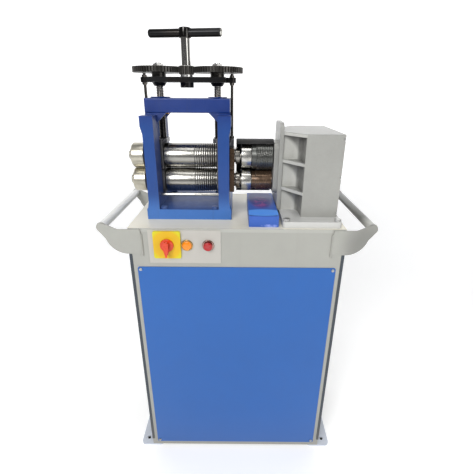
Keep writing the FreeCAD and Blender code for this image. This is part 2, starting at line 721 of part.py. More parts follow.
def foot_flanges():
    """Two flat feet under the cabinet sides, with floor bolt holes."""
    feet = []
    for side in SIDES:
        near = side * (SIDE - FLANGE_UNDER)
        far = side * (SIDE + FLANGE_REACH)
        foot = box(min(near, far), max(near, far), FRONT, BACK, 0.0, FLANGE_THICK)
        foot = rounded(foot, FLANGE_CORNER, V(0, 0, 1))
        for end in SIDES:
            foot = foot.cut(z_rod(FLOOR_HOLE_R, -FLANGE_THICK, 2 * FLANGE_THICK,
                                  side * (SIDE + FLANGE_REACH - FLOOR_HOLE_INSET_X),
                                  end * (BACK - FLOOR_HOLE_INSET_Y)))
        feet.append(foot)
    return group(feet)


# ---------------------------------------------------------------- push handles
def tangent_point(point, centre, radius, side):
    """Point where the line from a point touches a circle, in the X Z plane."""
    gap = centre - point
    length = gap.Length
    heading = math.atan2(gap.z, gap.x) + side * math.asin(radius / length)
    run = math.sqrt(length ** 2 - radius ** 2)
    return point + V(run * math.cos(heading), 0, run * math.sin(heading))


def bracket_outline(y):
    """Right bracket as a closed wire at one Y: foot, swept lower edge, round eye and flat top."""
    eye = V(HANDLE_X, y, HANDLE_Z)
    top = DECK_TOP - BRACKET_TOP_DROP
    low = top - BRACKET_ROOT
    sweep_centre = V(SIDE, y, low + BRACKET_SWEEP_R)

    def sweep_point(degrees):
        """Point of the lower sweep at an angle."""
        angle = math.radians(degrees)
        return sweep_centre + V(BRACKET_SWEEP_R * math.cos(angle), 0, BRACKET_SWEEP_R * math.sin(angle))

    start = sweep_point(-90.0)
    middle = sweep_point((BRACKET_SWEEP_END - 90.0) / 2.0)
    end = sweep_point(BRACKET_SWEEP_END)
    touch_low = tangent_point(end, eye, HANDLE_R, -1)
    shoulder = V(SIDE + BRACKET_TOP_RUN, y, top)
    touch_top = tangent_point(shoulder, eye, HANDLE_R, 1)
    far = eye + V(1, 0, 1).normalize() * HANDLE_R
    foot_top = V(SIDE - BRACKET_FOOT, y, top)
    foot_low = V(SIDE - BRACKET_FOOT, y, low)
    sweep = Part.Arc(start, middle, end).toShape()
    eye_arc = Part.Arc(touch_low, far, touch_top).toShape()
    lower_line = Part.makePolygon([end, touch_low])
    upper_lines = Part.makePolygon([touch_top, shoulder, foot_top, foot_low, start])
    return Part.Wire([sweep] + lower_line.Edges + [eye_arc] + upper_lines.Edges)


def handle_brackets():
    """Four swept plates on the front and the back of the cabinet."""
    brackets = []
    for y, thick in ((FRONT, -BRACKET_THICK), (BACK, BRACKET_THICK)):
        right = Part.Face(bracket_outline(y)).extrude(V(0, thick, 0))
        brackets += [right, right.mirror(V(0, 0, 0), V(1, 0, 0))]
    return group(brackets)


def handle_tubes():
    """Two tubes that run from front to back between the brackets."""
    tubes = []
    for side in SIDES:
        tube = y_rod(HANDLE_R, FRONT, BACK, side * HANDLE_X, HANDLE_Z)
        tubes.append(tube.cut(y_rod(HANDLE_R - HANDLE_WALL, FRONT - SHEET, BACK + SHEET,
                                    side * HANDLE_X, HANDLE_Z)))
    return group(tubes)


# ---------------------------------------------------------------- control plate
def control_plate():
    """Plate that carries the switches, with their holes."""
    top = DECK_TOP - CONTROL_DROP
    plate = box(CONTROL_LEFT, CONTROL_LEFT + CONTROL_WIDTH, FRONT_FACE, FRONT, top - CONTROL_HEIGHT, top)
    holes = [y_rod(BLOCK_BORE_R, FRONT_FACE - SHEET, FRONT + SHEET, x, z) for x, z, _ in block_places()]
    return plate.cut(Part.makeCompound(holes))


def isolator_plate():
    """Square yellow plate behind the isolator knob."""
    plate = box(ISOLATOR_X - ISOLATOR_WIDTH / 2.0, ISOLATOR_X + ISOLATOR_WIDTH / 2.0,
                FRONT_FACE - ISOLATOR_THICK, FRONT_FACE,
                ISOLATOR_Z - ISOLATOR_HEIGHT / 2.0, ISOLATOR_Z + ISOLATOR_HEIGHT / 2.0)
    plate = rounded(plate, ISOLATOR_CORNER, V(0, 1, 0))
    hole = y_rod(KNOB_SPINDLE_R + RUNNING, FRONT_FACE - 2 * ISOLATOR_THICK, FRONT, ISOLATOR_X, ISOLATOR_Z)
    return plate.cut(hole)


def isolator_knob():
    """Round knob with a raised grip that ends in a pointer, and its spindle."""
    face = FRONT_FACE - ISOLATOR_THICK - FREE
    disc = y_rod(KNOB_R, face - KNOB_BASE, face, ISOLATOR_X, ISOLATOR_Z)
    front = face - KNOB_BASE - KNOB_GRIP
    half = KNOB_GRIP_WIDTH / 2.0
    top = ISOLATOR_Z + KNOB_R - half
    tip = ISOLATOR_Z - KNOB_POINTER
    points = [V(ISOLATOR_X - half, front, top), V(ISOLATOR_X + half, front, top),
              V(ISOLATOR_X + half, front, ISOLATOR_Z - half), V(ISOLATOR_X, front, tip),
              V(ISOLATOR_X - half, front, ISOLATOR_Z - half)]
    grip = Part.Face(Part.makePolygon(points + [points[0]])).extrude(V(0, face - front, 0))
    spindle = y_rod(KNOB_SPINDLE_R, face, FRONT + BLOCK_DEPTH / 2.0, ISOLATOR_X, ISOLATOR_Z)
    return fuse([disc, grip, spindle])


def pilot_lamp():
    """Amber lens with a rim and a neck through the plate."""
    rim = y_rod(BEZEL_R, FRONT_FACE - BEZEL_DEPTH, FRONT_FACE, LAMP_X, LAMP_Z)
    lens = y_rod(LAMP_R, FRONT_FACE - LAMP_DEPTH, FRONT_FACE - BEZEL_DEPTH, LAMP_X, LAMP_Z)
    neck = y_rod(BLOCK_BORE_R - SEAT, FRONT_FACE, FRONT, LAMP_X, LAMP_Z)
    return fuse([rim, lens, neck])


def stop_bezel():
    """Bright ring round the stop button, with a neck through the plate."""
    rim = y_rod(BEZEL_R, FRONT_FACE - BEZEL_DEPTH, FRONT_FACE, BUTTON_X, LAMP_Z)
    neck = y_rod(BLOCK_BORE_R - SEAT, FRONT_FACE - BEZEL_DEPTH, FRONT, BUTTON_X, LAMP_Z)
    bore = y_rod(BUTTON_STEM_R + RUNNING, FRONT_FACE - 2 * BEZEL_DEPTH, FRONT + SHEET, BUTTON_X, LAMP_Z)
    return fuse([rim, neck]).cut(bore)


def stop_button():
    """Red mushroom button on its stem, held off the bezel by its travel."""
    back = FRONT_FACE - BEZEL_DEPTH - BUTTON_TRAVEL - FREE
    front = back - BUTTON_DEPTH / 2.0
    head = y_rod(BUTTON_R, back - BUTTON_DEPTH, back, BUTTON_X, LAMP_Z)
    rim = [edge for edge in circles(head) if edge.CenterOfMass.y < front]
    head = head.makeFillet(BUTTON_EDGE, rim)
    stem = y_rod(BUTTON_STEM_R, back, FRONT + BUTTON_TRAVEL, BUTTON_X, LAMP_Z)
    return fuse([head, stem])


def switch_blocks():
    """Contact blocks behind the control plate."""
    blocks = []
    for x, z, half in block_places():
        block = box(x - half, x + half, FRONT, FRONT + BLOCK_DEPTH, z - half, z + half)
        if x == BUTTON_X:
            bore = y_rod(BUTTON_STEM_R + FREE, FRONT - SHEET, FRONT + 3 * BUTTON_TRAVEL, x, z)
            block = block.cut(bore)
        if x == ISOLATOR_X:
            bore = y_rod(KNOB_SPINDLE_R + RUNNING, FRONT - SHEET, FRONT + BLOCK_DEPTH / 2.0 + FREE, x, z)
            block = block.cut(bore)
        blocks.append(block)
    return group(blocks)


# ---------------------------------------------------------------- roll stand
def mirrored(shape):
    """The same shape on the other side of the stand's middle."""
    return shape.mirror(V(MILL_X, 0, 0), V(1, 0, 0))


def column_section(outer, z):
    """Rectangle of a column at one height, as a closed wire."""
    points = [V(MILL_X + COLUMN_INNER, -MILL_DEPTH_HALF, z), V(MILL_X + outer, -MILL_DEPTH_HALF, z),
              V(MILL_X + outer, MILL_DEPTH_HALF, z), V(MILL_X + COLUMN_INNER, MILL_DEPTH_HALF, z)]
    return Part.makePolygon(points + [points[0]])


def column():
    """Right column: straight shaft, a head that is thicker, and a sloped foot."""
    foot_top = BASE_TOP + FOOT_HEIGHT
    head_low = COLUMN_TOP - HEAD_HEIGHT
    foot = Part.makeLoft([column_section(COLUMN_OUTER + FOOT_RUN / 2.0, BASE_TOP),
                          column_section(COLUMN_OUTER, foot_top)], True, True)
    shaft = box(MILL_X + COLUMN_INNER, MILL_X + COLUMN_OUTER, -MILL_DEPTH_HALF, MILL_DEPTH_HALF,
                foot_top, head_low - HEAD_SLOPE)
    slope = Part.makeLoft([column_section(COLUMN_OUTER, head_low - HEAD_SLOPE),
                           column_section(HEAD_OUTER, head_low)], True, True)
    head = box(MILL_X + COLUMN_INNER, MILL_X + HEAD_OUTER, -MILL_DEPTH_HALF, MILL_DEPTH_HALF,
               head_low, COLUMN_TOP)
    crown = mid_box(MILL_X + COLUMN_INNER, MILL_X + BEAM_HALF, BEAM_DEPTH_HALF, COLUMN_TOP, BEAM_BOTTOM)
    return fuse([foot, shaft, slope, head, crown])


def gusset():
    """Triangle in the upper corner of the pass, under the beam."""
    inner = MILL_X + COLUMN_INNER
    points = [V(inner, -BEAM_DEPTH_HALF, BEAM_BOTTOM), V(inner - GUSSET, -BEAM_DEPTH_HALF, BEAM_BOTTOM),
              V(inner, -BEAM_DEPTH_HALF, BEAM_BOTTOM - GUSSET)]
    face = Part.Face(Part.makePolygon(points + [points[0]]))
    return face.extrude(V(0, 2 * BEAM_DEPTH_HALF, 0))


def mill_body():
    """One casting: base, two columns with chock windows, and the top beam."""
    base = box(MILL_X - MILL_BASE_HALF, MILL_X + MILL_BASE_HALF, -MILL_DEPTH_HALF, MILL_DEPTH_HALF,
               DECK_TOP, BASE_TOP)
    base = rounded(base, MILL_EDGE, V(0, 0, 1))
    beam = mid_box(MILL_X - BEAM_HALF, MILL_X + BEAM_HALF, BEAM_DEPTH_HALF, BEAM_BOTTOM, BEAM_TOP)
    beam = rounded(beam, MILL_EDGE, V(1, 0, 0))
    bosses = [z_rod(BEAM_BOSS_R, BEAM_TOP, BEAM_TOP + BEAM_BOSS, x, 0) for x in SCREW_XS]
    side = fuse([column(), gusset()])
    body = fuse([base, beam, side, mirrored(side)] + bosses)
    floor = LOWER_Z - CHOCK_LOW
    reach = HEAD_OUTER + FOOT_RUN
    tools = []
    for way in SIDES:
        near = MILL_X + way * (COLUMN_INNER - GUSSET)
        far = MILL_X + way * reach
        tools.append(mid_box(min(near, far), max(near, far), WINDOW_HALF, floor, BEAM_BOTTOM))
    tools += [z_rod(NUT_R + SEAT, BEAM_BOTTOM - SHEET, BEAM_TOP + 2 * BEAM_BOSS, x, 0) for x in SCREW_XS]
    tools += [z_rod(BED_BOLT_R + HOLE_PLAY, DECK_TOP - SHEET, BASE_TOP + SHEET, x, y)
              for x, y in mill_bolt_places()]
    rest = MILL_X + COLUMN_INNER + FEED_BAR_SEAT
    tools.append(x_rod(FEED_BAR_R + SEAT, 2 * MILL_X - rest, rest, FEED_BAR_Y, FEED_BAR_Z))
    for way in SIDES:
        near = MILL_X + way * (BEAM_HALF + SEAT)
        far = MILL_X + way * reach
        tools.append(mid_box(min(near, far), max(near, far), BEAM_DEPTH_HALF,
                             COLUMN_TOP - HEAD_HEIGHT - HEAD_SLOPE, BEAM_TOP))
    return body.cut(Part.makeCompound(tools)).removeSplitter()


def screw_nuts():
    """Two flanged bronze nuts pressed into the beam from below."""
    nuts = []
    for x in SCREW_XS:
        nut = fuse([z_rod(NUT_R, BEAM_BOTTOM, BEAM_TOP + BEAM_BOSS, x, 0),
                    z_rod(NUT_FLANGE_R, BEAM_BOTTOM - NUT_FLANGE, BEAM_BOTTOM, x, 0)])
        bore = z_rod(SCREW_R + RUNNING, BEAM_BOTTOM - 2 * NUT_FLANGE, BEAM_TOP + 2 * BEAM_BOSS, x, 0)
        nuts.append(nut.cut(bore))
    return group(nuts)


def feed_bar():
    """Polished bar across the pass, in front of the lower roll."""
    reach = COLUMN_INNER + FEED_BAR_SEAT
    return x_rod(FEED_BAR_R, MILL_X - reach, MILL_X + reach, FEED_BAR_Y, FEED_BAR_Z)


def chock(z, top, with_ledge):
    """Right bearing block in its window; the upper one has a ledge for the screw and a rod lug."""
    half = WINDOW_HALF - SLIDING
    low = z - CHOCK_LOW
    block = mid_box(MILL_X + CHOCK_INNER, MILL_X + COLUMN_OUTER, half, low, z + top)
    pieces = [block]
    if with_ledge:
        pieces.append(mid_box(MILL_X + LEDGE_INNER, MILL_X + CHOCK_INNER, LEDGE_HALF, z + top - LEDGE_THICK,
                              z + top))
        pieces.append(mid_box(MILL_X + COLUMN_OUTER, MILL_X + LUG_OUTER, LUG_HALF, z + LUG_LOW, z + top))
    block = fuse(pieces)
    bore = x_rod(BUSH_R + SEAT, MILL_X + CHOCK_INNER - SHEET, MILL_X + COLUMN_OUTER + SHEET, 0, z)
    tools = [bore]
    if with_ledge:
        tools.append(z_rod(ROD_R + SEAT, z + LUG_LOW - SHEET, z + top + SHEET, MILL_X + ROD_OFFSET, 0))
    return block.cut(Part.makeCompound(tools))


def lower_chocks():
    """Left and right bearing blocks of the lower roll, on the window floor."""
    right = chock(LOWER_Z, CHOCK_LOW, False)
    return group([mirrored(right), right])


def upper_chocks():
    """Left and right bearing blocks of the upper roll."""
    right = chock(UPPER_Z, CHOCK_UPPER_TOP, True)
    return group([mirrored(right), right])


def neck_bush(z):
    """Right bronze bush of a roll neck."""
    inner = MILL_X + CHOCK_INNER
    outer = MILL_X + COLUMN_OUTER
    return x_rod(BUSH_R, inner, outer, 0, z).cut(x_rod(NECK_R + RUNNING, inner - SHEET, outer + SHEET, 0, z))


def drive_bush(x, y, z, outer_r, bore_r, length):
    """Bronze bush of a gearbox shaft."""
    return x_rod(outer_r, x, x + length, y, z).cut(x_rod(bore_r, x - SHEET, x + length + SHEET, y, z))


def bronze_bushes():
    """Bushes that stay put: lower roll necks and gearbox shafts."""
    right = neck_bush(LOWER_Z)
    bushes = [mirrored(right), right]
    for z in (LOWER_Z, UPPER_Z):
        for x in (FACE_LEFT, BLOCK_LEFT - DRIVE_BUSH):
            bushes.append(drive_bush(x, 0, z, DRIVE_BUSH_R, DRIVE_SHAFT_R + RUNNING, DRIVE_BUSH))
    bushes.append(drive_bush(LID_LEFT, 0, LOWER_Z, END_BUSH_R, END_JOURNAL_R + RUNNING, LID_THICK))
    bushes.append(drive_bush(LID_LEFT, INPUT_Y, INPUT_Z, INPUT_BUSH_R, INPUT_SHAFT_R + RUNNING, LID_THICK))
    bushes.append(drive_bush(INPUT_BUSH_LEFT, INPUT_Y, INPUT_Z, INPUT_BUSH_R, INPUT_SHAFT_R + RUNNING,
                             CHAMBER_LEFT - INPUT_BUSH_LEFT))
    return group(bushes)


def upper_bushes():
    """Bushes of the upper roll, which rise with its chocks."""
    right = neck_bush(UPPER_Z)
    return group([mirrored(right), right])


# ---------------------------------------------------------------- rolls
def roll_profile():
    """Barrel and necks of a roll as (x, radius), from the left end to the coupling tongue."""
    left = MILL_X - BARREL_HALF
    right = MILL_X + BARREL_HALF
    profile = [(MILL_X - SIDE_ROLL_INNER - SIDE_ROLL_LENGTH - SIDE_NUT - SIDE_STUD, SIDE_STUD_R),
               (MILL_X - SIDE_ROLL_INNER - SIDE_ROLL_LENGTH, SIDE_STUD_R),
               (MILL_X - SIDE_ROLL_INNER - SIDE_ROLL_LENGTH, SIDE_SEAT_R),
               (MILL_X - SIDE_ROLL_INNER, SIDE_SEAT_R), (MILL_X - SIDE_ROLL_INNER, NECK_R),
               (left - NECK_STEP_LENGTH, NECK_R), (left - NECK_STEP_LENGTH, NECK_STEP), (left, NECK_STEP),
               (left, ROLL_R)]
    start = MILL_X + PLAIN_END
    for number in range(GROOVE_COUNT):
        middle = start + (number + 0.5) * GROOVE_PITCH
        depth = GROOVE_FIRST + number * GROOVE_STEP
        profile += [(middle - depth, ROLL_R), (middle, ROLL_R - depth), (middle + depth, ROLL_R)]
    profile += [(right, ROLL_R), (right, NECK_STEP), (right + NECK_STEP_LENGTH, NECK_STEP),
                (right + NECK_STEP_LENGTH, NECK_R), (COLLAR_LEFT, NECK_R), (COLLAR_LEFT, COLLAR_R),
                (COLLAR_RIGHT, COLLAR_R), (COLLAR_RIGHT, RING_BORE_R), (RING_RIGHT, RING_BORE_R)]
    return profile


def roll(z):
    """Steel roll with V grooves at its right end, necks, thrust collar and driving tongue."""
    body = turned_x(roll_profile(), 0, z)
    tongue = box(RING_RIGHT, RING_RIGHT + TONGUE_LENGTH, -TONGUE_HALF_THICK, TONGUE_HALF_THICK,
                 z - TONGUE_HALF_WIDTH, z + TONGUE_HALF_WIDTH)
    return fuse([body, tongue])


def side_roll(z):
    """Short roll on the left end of a main roll, with its retaining nut."""
    right = MILL_X - SIDE_ROLL_INNER
    left = right - SIDE_ROLL_LENGTH
    rim = ROLL_R - SIDE_ROLL_CHAMFER
    body = turned_x([(left, rim), (left + SIDE_ROLL_CHAMFER, ROLL_R), (right - SIDE_ROLL_CHAMFER, ROLL_R),
                     (right, rim)], 0, z)
    body = body.cut(x_rod(SIDE_SEAT_R + SEAT, left - SHEET, right + SHEET, 0, z))
    nut = hexagon(SIDE_NUT_R, 0.0, SIDE_NUT, V(left, 0, z), V(-1, 0, 0))
    nut = nut.cut(x_rod(SIDE_STUD_R + SEAT, left - 2 * SIDE_NUT, left + SHEET, 0, z))
    return group([body, nut])


def coupling_ring(z, radius):
    """Bright ring shrunk on the roll's drive end."""
    ring = x_rod(radius, RING_LEFT, RING_RIGHT, 0, z)
    ring = ring.makeChamfer(RING_CHAMFER, circles(ring))
    return ring.cut(x_rod(RING_BORE_R + SEAT, RING_LEFT - SHEET, RING_RIGHT + SHEET, 0, z))


def sleeve(z, radius, ribbed):
    """Coupling sleeve: slotted socket for the tongue on the left, bored for the shaft on the right."""
    collar_end = SLEEVE_LEFT + SLEEVE_COLLAR
    profile = [(SLEEVE_LEFT, radius - SLEEVE_COLLAR_DROP), (collar_end, radius - SLEEVE_COLLAR_DROP),
               (collar_end, radius)]
    if ribbed:
        for rib in range(RIB_COUNT):
            middle = collar_end + (rib + 0.5) * RIB_PITCH
            profile += [(middle - RIB_DEPTH / 2.0, radius), (middle, radius - RIB_DEPTH),
                        (middle + RIB_DEPTH / 2.0, radius)]
    profile.append((SLEEVE_RIGHT, radius))
    body = turned_x(profile, 0, z)
    thick = TONGUE_HALF_THICK + TONGUE_PLAY
    wide = TONGUE_HALF_WIDTH + TONGUE_PLAY
    slot = mid_box(SLEEVE_LEFT - SHEET, SLEEVE_LEFT + SOCKET_DEPTH, thick, z - wide, z + wide)
    bore = x_rod(DRIVE_SHAFT_R + SEAT, SLEEVE_LEFT + SOCKET_DEPTH + SHEET, SLEEVE_RIGHT + SHEET, 0, z)
    return body.cut(Part.makeCompound([slot, bore]))


def pinion_shaft(z, phase, to_bull_gear):
    """Shaft with its pinion cut on it; the lower one goes on to the bull gear and an end journal."""
    left = SLEEVE_LEFT + SOCKET_DEPTH + SHEET
    end = DRIVE_LEFT + DRIVE_FACE
    pieces = [x_rod(DRIVE_SHAFT_R, left, end, 0, z),
              gear_on_x(DRIVE_TEETH, DRIVE_MODULE, DRIVE_FACE, phase, DRIVE_SHAFT_R / 2.0, DRIVE_LEFT, 0, z)]
    if to_bull_gear:
        pieces.append(x_rod(DRIVE_SHAFT_R, end, BULL_LEFT, 0, z))
        pieces.append(x_rod(BULL_SEAT_R, BULL_LEFT, BULL_LEFT + BULL_FACE, 0, z))
        pieces.append(x_rod(END_JOURNAL_R, BULL_LEFT + BULL_FACE, LID_RIGHT, 0, z))
    return fuse(pieces)


def bull_gear():
    """Large gear on the lower shaft, with lightening holes."""
    wheel = gear_on_x(BULL_TEETH, BULL_MODULE, BULL_FACE, 0.0, BULL_SEAT_R + SEAT, BULL_LEFT, 0, LOWER_Z)
    mid_r = (BULL_SEAT_R + BULL_PITCH_R) / 2.0
    holes = []
    for number in range(BULL_HOLES):
        angle = 2.0 * math.pi * number / BULL_HOLES
        holes.append(x_rod(BULL_SEAT_R, BULL_LEFT - SHEET, BULL_LEFT + BULL_FACE + SHEET,
                           mid_r * math.cos(angle), LOWER_Z + mid_r * math.sin(angle)))
    return wheel.cut(Part.makeCompound(holes))


def input_pinion_shaft():
    """Small pinion cut on the shaft that the belt drives."""
    phase = meshed_phase(math.radians(INPUT_ANGLE), 0.0, BULL_TEETH, INPUT_TEETH)
    pinion = gear_on_x(INPUT_TEETH, BULL_MODULE, BULL_FACE, phase, INPUT_SHAFT_R / 2.0,
                       BULL_LEFT, INPUT_Y, INPUT_Z)
    shaft = x_rod(INPUT_SHAFT_R, INPUT_BUSH_LEFT + FREE, PULLEY_LEFT + PULLEY_WIDTH, INPUT_Y, INPUT_Z)
    return fuse([shaft, pinion])


def pulley(radius, z, bore_r):
    """V pulley; radius is at the middle of the belt."""
    middle = PULLEY_LEFT + PULLEY_WIDTH / 2.0
    rim = radius + BELT_HEIGHT / 2.0
    floor = radius - BELT_HEIGHT / 2.0 - BELT_PLAY
    top = BELT_TOP_WIDTH / 2.0 + BELT_PLAY
    low = BELT_LOW_WIDTH / 2.0 + BELT_PLAY
    right = PULLEY_LEFT + PULLEY_WIDTH
    body = turned_x([(PULLEY_LEFT, rim), (middle - top, rim), (middle - low, floor), (middle + low, floor),
                     (middle + top, rim), (right, rim)], INPUT_Y, z)
    return body.cut(x_rod(bore_r + SEAT, PULLEY_LEFT - SHEET, right + SHEET, INPUT_Y, z))


def belt_section(centre, radius, angle):
    """Trapezoid of the belt where it leaves a pulley; the angle runs from +Y towards +Z."""
    outward = V(0, math.cos(angle), math.sin(angle))
    middle = centre + outward * radius
    corners = ((-BELT_TOP_WIDTH, 1), (BELT_TOP_WIDTH, 1), (BELT_LOW_WIDTH, -1), (-BELT_LOW_WIDTH, -1))
    points = [middle + V(width / 2.0, 0, 0) + outward * (way * BELT_HEIGHT / 2.0) for width, way in corners]
    return Part.Face(Part.makePolygon(points + [points[0]]))


def drive_belt():
    """Closed V belt: an arc round each pulley and two straight runs."""
    x = PULLEY_LEFT + PULLEY_WIDTH / 2.0
    upper = V(x, INPUT_Y, INPUT_Z)
    lower = V(x, INPUT_Y, MOTOR_AXIS_Z)
    lean = math.asin((INPUT_PULLEY_R - MOTOR_PULLEY_R) / (INPUT_Z - MOTOR_AXIS_Z))
    axis = V(1, 0, 0)
    wrap = math.degrees(lean) * 2.0
    pieces = [belt_section(upper, INPUT_PULLEY_R, -lean).revolve(upper, axis, 180.0 + wrap),
              belt_section(lower, MOTOR_PULLEY_R, math.pi + lean).revolve(lower, axis, 180.0 - wrap)]
    for angle in (-lean, math.pi + lean):
        outward = V(0, math.cos(angle), math.sin(angle))
        run = (lower + outward * MOTOR_PULLEY_R) - (upper + outward * INPUT_PULLEY_R)
        pieces.append(belt_section(upper, INPUT_PULLEY_R, angle).extrude(run))
    return fuse(pieces)


# ---------------------------------------------------------------- gap setting gear
def screw_gear_phase(side):
    """Phase of a screw gear; the pinion has a tooth towards the left gear."""
    heading = math.atan2(-SPINDLE_Y, side * SCREW_OFFSET)
    return meshed_phase(heading, pinion_phase(), GEAR_PINION_TEETH, GEAR_TEETH)


def pinion_phase():
    """The pinion has a tooth centred on the line to the left gear."""
    return math.atan2(-SPINDLE_Y, -SCREW_OFFSET)


def pressure_screw(side):
    """Screw from the chock up through its gear, with a stud for the nut."""
    x = MILL_X + side * SCREW_OFFSET
    top = GEAR_LOW + GEAR_THICK + SCREW_NUT + SCREW_STUD
    return turned_z([(SCREW_R, UPPER_Z + CHOCK_UPPER_TOP), (SCREW_R, BRIDGE_TOP), (GEAR_BORE_R, BRIDGE_TOP),
                     (GEAR_BORE_R, top - STUD_CHAMFER), (GEAR_BORE_R - STUD_CHAMFER, top)], x, 0)


def screw_gear(side):
    """Gear wheel keyed on a pressure screw, its spacer hub and its nut."""
    x = MILL_X + side * SCREW_OFFSET
    wheel = gear(GEAR_TEETH, GEAR_MODULE, STUB_ADDENDUM, GEAR_THICK, screw_gear_phase(side),
                 GEAR_BORE_R + SEAT)
    wheel.translate(V(x, 0, GEAR_LOW))
    hub = z_rod(GEAR_HUB_R, BRIDGE_TOP + FREE, GEAR_LOW, x, 0).cut(
        z_rod(GEAR_BORE_R + SEAT, BRIDGE_TOP, GEAR_LOW + SHEET, x, 0))
    nut = hexagon(SCREW_NUT_R, 0.0, SCREW_NUT, V(x, 0, GEAR_LOW + GEAR_THICK), V(0, 0, 1))
    nut = nut.cut(z_rod(GEAR_BORE_R + SEAT, GEAR_LOW, GEAR_LOW + GEAR_THICK + 2 * SCREW_NUT, x, 0))
    return group([fuse([wheel, hub]), nut])


def bridge_plate():
    """Flat bar that ties the screws, the spindle and the pull rods together, with bosses below."""
    x_left = MILL_X - BRIDGE_HALF
    x_right = MILL_X + BRIDGE_HALF
    half = BRIDGE_DEPTH / 2.0
    pieces = [box(x_left, x_right, SPINDLE_Y - CENTRE_BOSS_R, half, BRIDGE_LOW, BRIDGE_TOP)]
    for side in SIDES:
        x = MILL_X + side * ROD_OFFSET
        near = MILL_X + side * BRIDGE_HALF
        pieces.append(mid_box(min(near, x), max(near, x), ROD_EAR_R, BRIDGE_LOW, BRIDGE_TOP))
        pieces.append(z_rod(ROD_EAR_R, BRIDGE_LOW, BRIDGE_TOP, x, 0))
        pieces.append(turned_z([(BRIDGE_SCREW_BOSS_R - BRIDGE_BOSS_TAPER, BRIDGE_LOW - BRIDGE_SCREW_BOSS),
                                (BRIDGE_SCREW_BOSS_R + BRIDGE_BOSS_TAPER, BRIDGE_LOW)],
                               MILL_X + side * SCREW_OFFSET, 0))
    pieces.append(z_rod(CENTRE_BOSS_R, BRIDGE_LOW - CENTRE_BOSS, BRIDGE_LOW, MILL_X, SPINDLE_Y))
    plate = fuse(pieces)
    low = BRIDGE_LOW - CENTRE_BOSS
    tools = [z_rod(SCREW_R + RUNNING, low - SHEET, BRIDGE_TOP + SHEET, x, 0) for x in SCREW_XS]
    tools.append(z_rod(SPINDLE_SEAT_R + RUNNING, low - SHEET, BRIDGE_TOP + SHEET, MILL_X, SPINDLE_Y))
    for side in SIDES:
        tools.append(z_rod(ROD_R + SEAT, low, BRIDGE_TOP + SHEET, MILL_X + side * ROD_OFFSET, 0))
    return plate.cut(Part.makeCompound(tools))


def spindle_bush():
    """Bright thrust bush between the bridge and the pinion."""
    bush = z_rod(SPINDLE_BUSH_R, BRIDGE_TOP, PINION_LOW - FREE, MILL_X, SPINDLE_Y)
    return bush.cut(z_rod(SPINDLE_SEAT_R + RUNNING, BRIDGE_LOW, PINION_LOW + SHEET, MILL_X, SPINDLE_Y))


def pull_rods():
    """Two rods from the bridge down to the upper chocks, with nuts above and below the bridge."""
    rods = []
    for side in SIDES:
        x = MILL_X + side * ROD_OFFSET
        rods.append(z_rod(ROD_R, UPPER_Z + LUG_LOW, BRIDGE_TOP + ROD_NUT + ROD_STUD, x, 0))
        seats = ((BRIDGE_TOP, 1.0), (BRIDGE_LOW, -1.0), (UPPER_Z + CHOCK_UPPER_TOP, 1.0))
        for z, way in seats:
            nut = hexagon(ROD_NUT_R, 0.0, ROD_NUT, V(x, 0, z), V(0, 0, way))
            rods.append(nut.cut(z_rod(ROD_R + SEAT, z - 2 * ROD_NUT, z + 2 * ROD_NUT, x, 0)))
    return group(rods)


def adjusting_spindle():
    """Upright spindle with the hub of the T handle on top."""
    shaft = turned_z([(SPINDLE_SEAT_R, BRIDGE_LOW - CENTRE_BOSS), (SPINDLE_SEAT_R, PINION_LOW + PINION_THICK),
                      (SPINDLE_R, PINION_LOW + PINION_THICK), (SPINDLE_R, T_BAR_Z - HUB_HEIGHT / 2.0),
                      (HUB_R, T_BAR_Z - HUB_HEIGHT / 2.0), (HUB_R, T_BAR_Z + HUB_HEIGHT / 2.0)],
                     MILL_X, SPINDLE_Y)
    return shaft.cut(turned_to_bar(x_rod(T_BAR_R + SEAT, -HUB_R - SHEET, HUB_R + SHEET, 0, 0)))


def turned_to_bar(shape):
    """A shape made about X at the origin, moved to the place and yaw of the cross bar."""
    shape.rotate(V(0, 0, 0), V(0, 0, 1), T_BAR_YAW)
    shape.translate(V(MILL_X, SPINDLE_Y, T_BAR_Z))
    return shape


def t_bar():
    """Cross bar of the T handle, pressed through the hub."""
    half = T_BAR_LENGTH / 2.0
    bar = x_rod(T_BAR_R, -half, half, 0, 0)
    return turned_to_bar(bar.makeChamfer(T_BAR_CHAMFER, circles(bar)))


def adjusting_pinion():
    """Pinion keyed on the spindle, between the two screw gears."""
    pinion = gear(GEAR_PINION_TEETH, GEAR_MODULE, STUB_ADDENDUM, PINION_THICK, pinion_phase(),
                  SPINDLE_SEAT_R + SEAT)
    pinion.translate(V(MILL_X, SPINDLE_Y, PINION_LOW))
    return pinion


# ---------------------------------------------------------------- couplings' guard and drip box
def coupling_guard():
    """Sheet over the upper coupling and down behind both, welded to the face of the bearing cap."""
    ring = x_rod(GUARD_R, GUARD_LEFT, CAP_LEFT, 0, UPPER_Z)
    ring = ring.cut(x_rod(GUARD_R - GUARD_WALL, GUARD_LEFT - SHEET, CAP_LEFT + SHEET, 0, UPPER_Z))
    centre = V(GUARD_LEFT - SHEET, 0, UPPER_Z)
    reach = 2.0 * GUARD_R
    front = math.radians(90.0 + GUARD_FRONT)
    back = math.radians(90.0 - GUARD_BACK)
    points = [centre]
    for facet in range(GUARD_FACETS + 1):
        angle = back + (front - back) * facet / GUARD_FACETS
        points.append(centre + V(0, reach * math.cos(angle), reach * math.sin(angle)))
    length = CAP_LEFT - GUARD_LEFT + 2 * SHEET
    sector = Part.Face(Part.makePolygon(points + [points[0]])).extrude(V(length, 0, 0))
    tail = box(GUARD_LEFT, CAP_LEFT, GUARD_R - GUARD_WALL, GUARD_R, LOWER_Z - GUARD_TAIL, UPPER_Z)
    return ring.common(sector).fuse(tail).removeSplitter()


